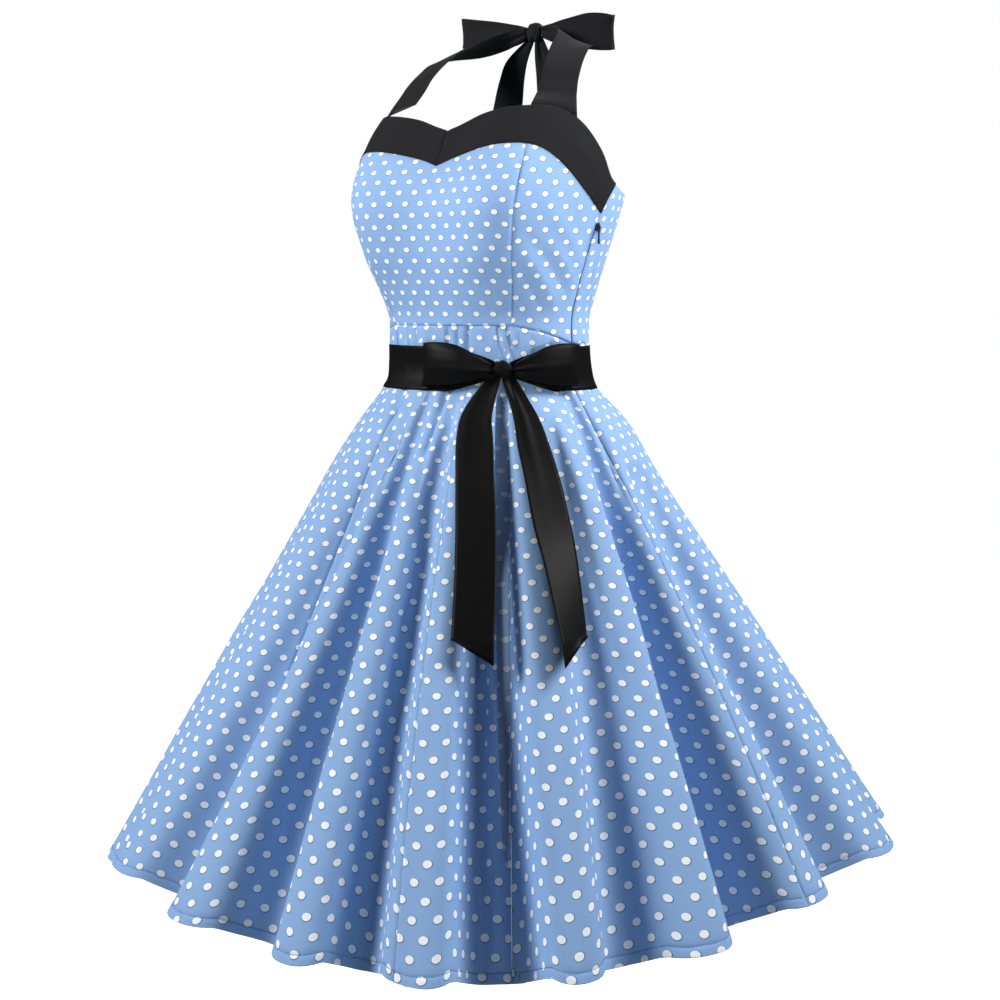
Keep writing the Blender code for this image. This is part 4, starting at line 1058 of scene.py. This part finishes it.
sashTailRight = {
    "height": (-0.0040, -0.028, -0.049, -0.063, -0.103, -0.149, -0.201, -0.253),
    "turn": (33.0, 27.6, 25.6, 26.2, 28.0, 29.6, 30.5, 30.8),
    "width": (0.012, 0.026, 0.034, 0.038, 0.040, 0.041, 0.041, 0.041),
    "out": (0.0045, 0.0040, 0.0045, 0.0050, 0.0050, 0.0050, 0.0050, 0.0050),
    "twist": (0, 0, 0, 0, 0, 0, 0, 0),
}
sashTailLeft = {
    "height": (-0.0040, -0.029, -0.047, -0.073, -0.099, -0.139, -0.184, -0.251),
    "turn": (38.5, 43.2, 45.6, 47.0, 48.2, 49.0, 49.6, 49.6),
    "width": (0.012, 0.020, 0.026, 0.033, 0.036, 0.039, 0.040, 0.040),
    "out": (0.0045, 0.0040, 0.0045, 0.0050, 0.0055, 0.0075, 0.0120, 0.0170),
    "twist": (0, 0, 0, 0, -3, -9, -25, -40),
}


# The folds that a knot presses into each ribbon: how many lie across it, how deep they are and
# how far from the knot they reach.
ribbonFolds = {
    "sashBand": (2.2, 0.0011, 0.028),
    "sashLoopLeft": (2.6, 0.0017, 0.030),
    "sashLoopRight": (2.3, 0.0017, 0.030),
    "sashTail": (1.6, 0.0016, 0.034),
    "halterStrap": (1.5, 0.0012, 0.035),
    "neckLoop": (1.7, 0.0015, 0.034),
    "neckTail": (1.5, 0.0014, 0.030),
}
# The slow wave along a ribbon: its depth, its length for a radian, and its slant across.
ribbonWaves = {
    "sashTailLeft": (0.0006, 0.031, 2.2),
    "sashTailRight": (0.0004, 0.031, 2.2),
    "halterStrap": (0.0007, 0.024, 3.0),
    "neckLoop": (0.0010, 0.022, 5.0),
    "neckTail": (0.0010, 0.026, 2.5),
}


def slowWave(run, across, kind, phase):
    depth, length, slant = ribbonWaves[kind]
    return depth * np.sin(run / length + slant * across + phase)


def pleats(away, across, kind, phase):
    # Folds deep beside a knot and gone a little way off.
    folds, depth, reach = ribbonFolds[kind]
    turns = 2 * np.pi * folds * across
    wave = np.cos(turns + phase) + 0.5 * np.cos(1.7 * turns + 2 * phase)
    return depth * wave * np.exp(-away / reach) * (1 - np.exp(-away / 0.003))


strapCloth = {
    "fromTurn": 45.0,
    "toTurn": 68.0,
    "thick": 0.0010,
    "nape": (0.0, 0.0880, 0.3610),
    "knotSize": (0.019, 0.013, 0.020),
    "knotOut": 0.0030,
}

# Each ribbon's cloth, flat size and area, and how it is held.
ribbons = {
    "sashBand": ("sash", (0.660, 0.045), 0.0290, "stretched"),
    "sashLoop": ("sash", (0.165, 0.045), 0.0064, "gathered"),
    "sashTail": ("sash", (0.045, 0.330), 0.0112, "hung"),
    "halterStrap": ("strap", (0.040, 0.205), 0.0076, "stretched"),
    "neckLoop": ("strap", (0.195, 0.038), 0.0058, "gathered"),
    "neckTail": ("strap", (0.038, 0.145), 0.0047, "hung"),
}


def ribbon(kind, name, node, points, relief, lengthwise):
    # A ribbon through rows of points; lengthwise is the axis of the grid that runs along it.
    cloths, flat, area, held = ribbons[kind]
    finish, slot, thick = {
        "sash": (satin, "black_satin", sash["thick"]),
        "strap": (sateen, "black_cotton", strapCloth["thick"]),
    }[cloths]
    facing = unit(np.cross(np.gradient(points, axis=1), -np.gradient(points, axis=0)))
    laid = points + facing * (relief + thick / 2)[..., None]
    along, over = arcAlong(points, lengthwise), arcAlong(points, 1 - lengthwise)
    made = clothGrid(name, laid, np.stack([along, over], -1), (finish,), thick)
    dress(made, slot, node)


def sashRing():
    turns = sash["knotTurn"] + np.linspace(sash["ringFrom"], 360 - sash["ringFrom"], 300)
    share = np.linspace(0.5, -0.5, 17)
    away = np.abs(wrapTurn(turns - sash["knotTurn"]))
    widened = np.clip((away - sash["narrowTo"]) / sash["widens"], 0, 1) ** 0.8
    full = sash["pinch"] + (1 - sash["pinch"]) * widened
    high, low = sash["rows"]
    middle = sash["knotHeight"] + ((high + low) / 2 - sash["knotHeight"]) * full
    heights = middle + share[:, None] * (high - low) * full
    grid = np.repeat(turns[None], len(share), axis=0)
    place = onSkirt(grid, heights)
    _, _, out = waistFrame(grid, heights)
    fromKnot = np.radians(away) * sash["ringRadius"]
    relief = sash["lift"] - sash["thick"] / 2 + np.zeros(grid.shape)
    relief = relief + np.maximum(pleats(fromKnot, share[:, None], "sashBand", 0.6), -0.0004)
    relief = relief + creasesRound(wrapTurn(grid), heights, sash["creases"], sash["radius"])
    points = place + out * relief[..., None]
    relief = np.full(grid.shape, -sash["thick"])
    ribbon("sashBand", "sashBand", "sash_band", points, relief, 1)


def sashLoop(name, node, table, side, phase):
    step = np.linspace(0, 1, 110)
    table = {"step": np.linspace(0, 1, len(table["turn"])), **table}
    turn, away, height, width = readColumns(table, "step", ("turn", "out", "height", "width"), step)
    turn = sash["knotTurn"] + side * turn
    place, _, out = waistFrame(turn, sash["knotHeight"] + height)
    offsets = np.linspace(0.5, -0.5, 23)
    straight = place[None] + (offsets[:, None] * width)[..., None] * upward
    curved = onSkirt(np.repeat(turn[None], len(offsets), axis=0), straight[..., 2])
    share = np.clip((away - sash["follows"]) / (sash["stands"] - sash["follows"]), 0, 1)[None, :, None]
    points = curved * (1 - share) + straight * share + (out * away[:, None])[None]
    travelled = runOf(place + out * away[:, None])
    fromKnot = np.minimum(travelled, travelled[-1] - travelled)
    outer = smooth((travelled[-1] * 0.52 - travelled) / 0.02)
    relief = pleats(fromKnot[None], offsets[:, None], name, phase) * (0.35 + 0.65 * outer)
    crown = outer * sash["crown"] * np.sin(np.pi * np.clip(travelled / (travelled[-1] * 0.5), 0, 1))
    relief = relief + crown[None] * (np.cos(np.pi * offsets)[:, None] - 0.5)
    if side < 0:
        points, relief = points[:, ::-1], relief[:, ::-1]
    ribbon("sashLoop", name, node, points, relief - sash["thick"] / 2, 1)


def sashTail(name, node, table, slant, phase):
    flip = {key: tuple(reversed(column)) for key, column in table.items()}
    heights = np.linspace(table["height"][0], table["height"][-1], 84)
    turn, width, away, twist = readColumns(flip, "height", ("turn", "width", "out", "twist"), heights)
    middle, along, out = waistFrame(turn, heights, False)
    middle = middle + out * away[:, None]
    twist = np.radians(twist)[:, None]
    across = along * np.cos(twist) + out * np.sin(twist)
    offsets = np.linspace(-0.5, 0.5, 15)
    points = middle[:, None] + across[:, None] * (width[:, None] * offsets)[..., None]
    for row, share in ((-1, 2.0), (-2, 1.4), (-3, 0.8)):
        points[row, :, 2] += slant * sash["slant"] * offsets * share
    down = (heights[0] - heights)[:, None]
    relief = pleats(down, offsets[None], "sashTail", phase)
    relief = relief + slowWave(down, offsets[None], name, phase) * smooth(down / 0.06)
    ribbon("sashTail", name, node, points, relief, 0)


def knotBall(name, node, centre, along, up, out, size, wraps, finish, slot):
    # A ball of ribbon pulled into a rounded block, with the grooves of its wrap across it. A
    # groove has the two parts of its direction, its place, its depth and its half width.
    bm = bmesh.new()
    layer = bm.loops.layers.uv.new("cloth")
    bmesh.ops.create_uvsphere(bm, u_segments=56, v_segments=36, radius=1.0, calc_uvs=True)
    half = np.array(size) / 2
    for v in bm.verts:
        d = np.array(v.co)
        square = np.sign(d) * np.abs(d) ** 0.72
        square = square / max(np.linalg.norm(square) ** 0.35, 1e-6)
        wrap = 0.0
        for alongPart, upPart, at, depth, wide in wraps:
            wrap += depth * fading(d[0] * alongPart + d[2] * upPart - at, wide)
        local = square * half * (1.06 + wrap)
        v.co = centre + along * local[0] + out * local[1] + up * local[2]
    for face in bm.faces:
        for loop in face.loops:
            loop[layer].uv = loop[layer].uv * 0.04
    made = fromBmesh(name, bm, finish)
    dress(made, slot, node)
    return made


knotPlace, knotAlong, knotFacing = waistFrame(sash["knotTurn"], sash["knotHeight"])
sashWraps = (
    (0.22, 0.97, -0.45, -0.20, 0.09),
    (-0.10, 0.99, 0.02, -0.16, 0.07),
    (0.16, 0.98, 0.42, -0.20, 0.09),
    (0.10, 0.99, 0.75, -0.10, 0.07),
)
slanted = radians(sash["knotLean"])
sashKnot = knotBall(
    "sashKnot", "sash_knot", knotPlace + knotFacing * (sash["knotOut"] + sash["knotSize"][1] / 2),
    knotAlong * np.cos(slanted) + upward * np.sin(slanted),
    upward * np.cos(slanted) - knotAlong * np.sin(slanted),
    knotFacing, sash["knotSize"], sashWraps, satin, "black_satin",
)
sashRing()
sashLoop("sashLoopLeft", "sash_loop_left", sashLoopLeft, 1, 0.4)
sashLoop("sashLoopRight", "sash_loop_right", sashLoopRight, -1, 1.7)
sashTail("sashTailLeft", "sash_tail_left", sashTailLeft, 1, 0.9)
sashTail("sashTailRight", "sash_tail_right", sashTailRight, -1, 2.4)
print("sash made")

# The halter straps by their inner and outer edges, from the cup to the nape, and the nape's bow.
strap = {
    "innerX": (0.0780, 0.0743, 0.0710, 0.0655, 0.0590, 0.0510, 0.0400, 0.0240, 0.0099),
    "innerY": (-0.0240, -0.0129, -0.0020, 0.0140, 0.0340, 0.0560, 0.0730, 0.0835, 0.0878),
    "innerZ": (0.2785, 0.2928, 0.3080, 0.3235, 0.3380, 0.3510, 0.3600, 0.3655, 0.3665),
    "outerX": (0.1185, 0.1141, 0.1110, 0.1070, 0.1030, 0.0920, 0.0640, 0.0340, 0.0099),
    "outerY": (-0.0130, -0.0035, 0.0070, 0.0210, 0.0370, 0.0600, 0.0800, 0.0865, 0.0878),
    "outerZ": (0.2755, 0.2890, 0.3030, 0.3170, 0.3290, 0.3350, 0.3380, 0.3450, 0.3550),
}
napeLoopLeft = {
    "side": (0.0099, 0.028, 0.052, 0.078, 0.093, 0.097, 0.094, 0.075, 0.050, 0.026, 0.0099),
    "out": (0.0060, 0.0120, 0.0165, 0.0160, 0.0120, 0.0075, 0.0035, 0.0025, 0.0025, 0.0025, 0.0025),
    "height": (0.000, 0.001, 0.001, -0.003, -0.007, -0.008, -0.009, -0.008, -0.005, -0.002, 0.000),
    "width": (0.012, 0.022, 0.031, 0.036, 0.036, 0.036, 0.036, 0.034, 0.029, 0.020, 0.012),
}
napeLoopRight = {
    "side": (0.0099, 0.030, 0.056, 0.080, 0.096, 0.100, 0.097, 0.080, 0.052, 0.028, 0.0099),
    "out": (0.0060, 0.0120, 0.0165, 0.0160, 0.0120, 0.0075, 0.0035, 0.0025, 0.0025, 0.0025, 0.0025),
    "height": (0.000, 0.001, 0.003, 0.006, 0.008, 0.009, 0.008, 0.006, 0.003, 0.001, 0.000),
    "width": (0.012, 0.022, 0.029, 0.032, 0.033, 0.033, 0.033, 0.031, 0.027, 0.020, 0.012),
}
napeTailLeft = {
    "height": (-0.0064, -0.026, -0.047, -0.070, -0.095, -0.125, -0.150),
    "side": (0.0045, 0.0070, 0.0105, 0.0130, 0.0140, 0.0155, 0.0170),
    "out": (0.0040, 0.0075, 0.0100, 0.0110, 0.0120, 0.0150, 0.0190),
    "width": (0.010, 0.020, 0.027, 0.031, 0.033, 0.034, 0.034),
}
napeTailRight = {
    "height": (-0.0064, -0.026, -0.047, -0.070, -0.095, -0.125, -0.150),
    "side": (-0.0068, -0.0265, -0.0355, -0.0405, -0.0455, -0.0500, -0.0530),
    "out": (0.0040, 0.0075, 0.0100, 0.0110, 0.0120, 0.0150, 0.0190),
    "width": (0.010, 0.028, 0.034, 0.038, 0.039, 0.038, 0.038),
}


def halterStrap(name, node, side):
    turns = np.linspace(strapCloth["fromTurn"], strapCloth["toTurn"], 15)
    top = edgeHeight("top", turns)
    base = bodicePoint(turns, top) - outwards(bodicePoint, turns, top) * cloth["cottonThick"] / 2
    base[:, 2] += 0.0012
    table = {"step": np.linspace(0, 1, len(strap["innerX"])), **strap}
    step = np.linspace(1, 0, 72)
    inner = np.stack(readColumns(table, "step", ("innerX", "innerY", "innerZ"), step), -1)
    outer = np.stack(readColumns(table, "step", ("outerX", "outerY", "outerZ"), step), -1)
    across = np.linspace(0, 1, 15)[:, None]
    points = inner[:, None] * (1 - across) + outer[:, None] * across
    points = np.concatenate([points, points[-1:] * 0.5 + base[None] * 0.5, base[None]])
    offsets = np.linspace(-0.5, 0.5, 15)
    fromNape = runOf(points[:, 7])
    relief = pleats(fromNape[:, None], offsets[None], "halterStrap", 0.5 + side)
    relief = relief + slowWave(fromNape[:, None], offsets[None], "halterStrap", side)
    relief = relief * smooth((fromNape[-1] - fromNape) / 0.02)[:, None]
    points = points * np.array((side, 1, 1))
    if side < 0:
        points, relief = points[:, ::-1], relief[:, ::-1]
    ribbon("halterStrap", name, node, points, relief, 0)


def napeLoop(name, node, table, side, phase):
    step = np.linspace(0, 1, 96)
    table = {"step": np.linspace(0, 1, len(table["side"])), **table}
    sideways, away, height, width = readColumns(table, "step", ("side", "out", "height", "width"), step)
    nape = np.array(strapCloth["nape"])
    middle = nape + np.stack([side * sideways, away, height], -1)
    offsets = np.linspace(0.5, -0.5, 19)
    points = middle[None] + (offsets[:, None] * width)[..., None] * upward
    travelled = runOf(middle)
    fromKnot = np.minimum(travelled, travelled[-1] - travelled)
    relief = pleats(fromKnot[None], offsets[:, None], "neckLoop", phase)
    relief = relief + slowWave(fromKnot[None], offsets[:, None], "neckLoop", phase)
    relief = relief * smooth(fromKnot / 0.006)[None]
    if side > 0:
        points, relief = points[:, ::-1], relief[:, ::-1]
    ribbon("neckLoop", name, node, points, relief * 0.8, 1)


def napeTail(name, node, table, phase):
    flip = {key: tuple(reversed(column)) for key, column in table.items()}
    height = np.linspace(table["height"][0], table["height"][-1], 60)
    sideways, away, width = readColumns(flip, "height", ("side", "out", "width"), height)
    middle = np.array(strapCloth["nape"]) + np.stack([sideways, away, height], -1)
    offsets = np.linspace(0.5, -0.5, 15)
    points = middle[:, None] + (width[:, None] * offsets)[..., None] * np.array((1.0, 0.0, 0.0))
    down = (height[0] - height)[:, None]
    relief = pleats(down, offsets[None], "neckTail", phase)
    relief = relief + slowWave(down, offsets[None], "neckTail", phase) * smooth(down / 0.03)
    ribbon("neckTail", name, node, points, relief, 0)


napeWraps = (
    (0.90, 0.44, -0.34, -0.12, 0.10),
    (0.86, -0.50, 0.36, -0.11, 0.10),
    (0.98, 0.18, 0.04, -0.07, 0.07),
)
knotBall(
    "neckKnot", "neck_knot", np.array(strapCloth["nape"]) + np.array((0, strapCloth["knotOut"], 0)),
    np.array((1.0, 0.0, 0.0)), upward, np.array((0.0, 1.0, 0.0)), strapCloth["knotSize"], napeWraps,
    sateen, "black_cotton",
)
halterStrap("halterStrapLeft", "halter_strap_left", 1)
halterStrap("halterStrapRight", "halter_strap_right", -1)
napeLoop("neckLoopLeft", "neck_loop_left", napeLoopLeft, 1, 0.3)
napeLoop("neckLoopRight", "neck_loop_right", napeLoopRight, -1, 1.4)
napeTail("neckTailLeft", "neck_tail_left", napeTailLeft, 0.7)
napeTail("neckTailRight", "neck_tail_right", napeTailRight, 2.0)
print("straps made")

zipper = {
    "tapeWide": 0.0110,
    "tapeThick": 0.0006,
    "tapeInside": 0.0040,  # from the cloth's face to the tape's
    "fromShare": 0.93,  # of the bodice, just under the band
    "toShare": 0.24,  # of the skirt
    "coilAbove": 0.0034,  # from the tape's face
    "coilPitch": 0.0017,
    "coilHalf": (0.00042, 0.00034),  # half its width and half its height
    "coilWire": 0.00016,
}


def onCloth(point, turns, levels, relief):
    # Places on a creased surface, and the ways out of it.
    out = outwards(point, turns, levels)
    return point(turns, levels) + out * relief[:, None], out


def onSkirtFace(turns, levels):
    place = skirtPoint(turns, levels)
    relief = skirtRelief(turns, levels, np.hypot(place[:, 0], place[:, 1]))
    return onCloth(skirtPoint, turns, levels, relief)


def onBodiceFace(turns, heights, sunk=0):
    return onCloth(bodicePoint, turns, heights, bodiceRelief(turns, heights) - sunk)


def zipLine():
    # Places down the side seam from under the band into the skirt, and the way out of the cloth.
    shares = np.linspace(zipper["fromShare"], 0.004, 120)
    turns = seamTurn("side", shares, 1)
    bodice, bodiceOut = onBodiceFace(turns, bodiceHeight(turns, shares))
    levels = np.linspace(0.002, zipper["toShare"], 90)
    low, high = skirtForm["seamTurns"][2], skirtForm["seamTurnsWaist"][2]
    skirt, skirtOut = onSkirtFace(high + (low - high) * levels, levels)
    return np.concatenate([bodice, skirt]), np.concatenate([bodiceOut, skirtOut])


def cord(name, path, facing, radius, finish, slot):
    # A round thread along a path: a grid rolled up and joined, with its ends filled.
    sides = 6
    forward = unit(np.gradient(path, axis=0))
    side = unit(np.cross(forward, facing))
    lift = np.cross(side, forward)
    bm = bmesh.new()
    bmesh.ops.create_grid(bm, x_segments=len(path) - 1, y_segments=sides, size=1.0)
    for v in bm.verts:
        i = int(round((v.co.x + 1) / 2 * (len(path) - 1)))
        angle = np.pi * (v.co.y + 1)
        v.co = path[i] + (side[i] * np.cos(angle) + lift[i] * np.sin(angle)) * radius
    bmesh.ops.remove_doubles(bm, verts=bm.verts, dist=radius * 0.05)
    bmesh.ops.holes_fill(bm, edges=[e for e in bm.edges if e.is_boundary], sides=0)
    dress(fromBmesh(name, bm, finish), slot)


def makeZip():
    place, out = zipLine()
    across = unit(np.cross(upward, out))
    wide = np.linspace(-0.5, 0.5, 9) * zipper["tapeWide"]
    face = place - out * zipper["tapeInside"]
    points = face[:, None] + across[:, None] * wide[:, None]
    down = runOf(face)
    uv = np.stack(np.broadcast_arrays(wide[None], -down[:, None]), -1)
    tape = clothGrid("zipTape", points, uv, (tapeFinish,), zipper["tapeThick"])
    dress(tape, "navy_tape", "zip_tape")
    length = float(down[-1])
    # The closed coil runs below the slider, in the slit between the two edges of the seam.
    start = int(np.argmax(place[:, 2] < seamFinish["slider"]))
    travelled = np.arange(0, length - down[start], zipper["coilPitch"] / 10) + down[start]
    centre = readLine(travelled, down, face + out * zipper["coilAbove"])
    facing = readLine(travelled, down, out)
    aside = readLine(travelled, down, across)
    angle = (2 * np.pi * travelled / zipper["coilPitch"])[:, None]
    halfWide, halfHigh = zipper["coilHalf"]
    path = centre + aside * np.cos(angle) * halfWide + facing * np.sin(angle) * halfHigh
    cord("zipCoil", path, facing, zipper["coilWire"], tapeFinish, "navy_tape")


makeZip()
for node in ("zip_slider", "zip_pull"):
    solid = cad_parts[node]
    solid.data.materials.clear()
    solid.data.materials.append(enamel)
print("zip made")

# A running stitch, in a thread drawn coarser than a real one so that it shows.
stitch = {
    "every": 0.0034,
    "long": 0.0024,
    "radius": 0.00022,
    "above": 0.00008,
    "below": 0.0008,
    "inSeam": 0.75,  # how deep in a seam's dip it lies, as a share
    "points": (0.0, 0.08, 0.5, 0.92, 1.0, 1.18),  # as shares of its length
    "onTop": (False, True, True, True, False, False),
}


def stitches(name, place, out):
    # One running thread: it lies on the cloth for a stitch, then goes under it to the next.
    down = runOf(place)
    starts = np.arange(0.001, down[-1] - stitch["every"], stitch["every"])
    along = np.array(stitch["points"]) * stitch["long"]
    lifted = np.where(stitch["onTop"], stitch["above"], -stitch["below"])
    travelled = (starts[:, None] + along).ravel()
    raised = np.tile(lifted, len(starts))
    where = readLine(travelled, down, place)
    facing = unit(readLine(travelled, down, out))
    cord(name, where + facing * raised[:, None], facing, stitch["radius"], thread, "dotted_cotton")


def hemStitches():
    turns = np.linspace(-180, 180, 3000)
    levels = np.full(turns.shape, 1 - skirtForm["hemUp"] / skirtForm["length"])
    stitches("hemStitching", *onSkirtFace(turns, levels))


def seamStitches():
    # The princess seams, each named for the side of the dress as it faces you, and the waist's.
    sunk = cloth["seamDip"] * stitch["inSeam"]
    shares = np.linspace(1.0, 0.01, 160)
    for side, name in ((-1, "princessStitchingLeft"), (1, "princessStitchingRight")):
        turns = seamTurn("princess", shares, side)
        stitches(name, *onBodiceFace(turns, bodiceHeight(turns, shares), sunk))
    turns = np.linspace(-180, 180, 700)
    level = np.full(turns.shape, -sunk)
    stitches("waistStitching", *onCloth(bodicePoint, turns, edgeHeight("waist", turns), level))


hemStitches()
seamStitches()
print("stitching made")

stand = {"place": (0.9621, -1.3740, 0.0689), "turn": 34.56, "down": 7.34, "lens": 55.7, "sensor": 36.0}
camera = bpy.data.objects.new("camera", bpy.data.cameras.new("camera"))
camera.data.lens = stand["lens"]
camera.data.sensor_width = stand["sensor"]
camera.location = stand["place"]
camera.rotation_euler = (radians(90 - stand["down"]), 0, radians(stand["turn"]))
scene.collection.objects.link(camera)
scene.camera = camera

studio = {
    "floorHeight": -1.06,
    "floorSize": 60.0,
    "white": "#FFFFFF",
    "ambient": 0.035,
    "ambientTint": "#E4EBF4",
    "aim": 0.14,
}
# Turn from the camera, degrees up, distance, size, power and the spread of its beam.
lamps = {
    "rightSide": (76.0, 36.0, 1.6, 0.8, 39.0, 180.0),
    "leftSide": (-75.0, 26.0, 2.2, 0.9, 57.0, 180.0),
    "front": (18.0, -8.0, 2.0, 0.25, 0.18, 15.0),
    "fill": (10.0, 15.0, 3.0, 1.2, 3.4, 180.0),
}


def areaLight(name):
    around, up, distance, size, power, beam = lamps[name]
    around, up = radians(stand["turn"] + around), radians(up)
    level = distance * np.cos(up)
    lamp = bpy.data.lights.new(name, "AREA")
    lamp.shape = "DISK"
    lamp.size = size
    lamp.energy = power
    lamp.spread = radians(beam)
    made = bpy.data.objects.new(name, lamp)
    made.location = (level * np.sin(around), -level * np.cos(around), distance * np.sin(up) + studio["aim"])
    made.rotation_euler = (np.pi / 2 - up, 0, around)
    scene.collection.objects.link(made)


def makeStudio():
    scene.view_settings.view_transform = "Standard"
    world = bpy.data.worlds.new("studio")
    scene.world = world
    world.use_nodes = True
    tree = world.node_tree
    ground = tree.nodes["Background"]
    ground.inputs["Color"].default_value = linear(studio["ambientTint"])
    ground.inputs["Strength"].default_value = studio["ambient"]
    bright = addNode(tree, "ShaderNodeBackground", inputs={"Color": linear(studio["white"]), "Strength": 1.0})
    path = addNode(tree, "ShaderNodeLightPath")
    mixed = addNode(
        tree,
        "ShaderNodeMixShader",
        {0: path.outputs["Is Camera Ray"], 1: ground.outputs[0], 2: bright.outputs[0]},
    )
    tree.links.new(mixed.outputs[0], tree.nodes["World Output"].inputs["Surface"])
    bm = bmesh.new()
    bmesh.ops.create_grid(bm, x_segments=1, y_segments=1, size=studio["floorSize"] / 2)
    bmesh.ops.translate(bm, vec=(0, 0, studio["floorHeight"]), verts=bm.verts)
    mesh = bpy.data.meshes.new("studioFloor")
    bm.to_mesh(mesh)
    bm.free()
    floor = bpy.data.objects.new("studioFloor", mesh)
    scene.collection.objects.link(floor)
    paint, tree, shader = newMaterial("floorPaint", "#B9BABB", 0.9)
    shader.inputs["Emission Color"].default_value = linear(studio["white"])
    path = addNode(tree, "ShaderNodeLightPath")
    glow = addNode(
        tree, "ShaderNodeMapRange", {"Value": path.outputs["Is Camera Ray"]}, inputs={"To Min": 0.03}
    )
    tree.links.new(glow.outputs["Result"], shader.inputs["Emission Strength"])
    mesh.materials.append(paint)
    for name in lamps:
        areaLight(name)


makeStudio()
print("studio made")
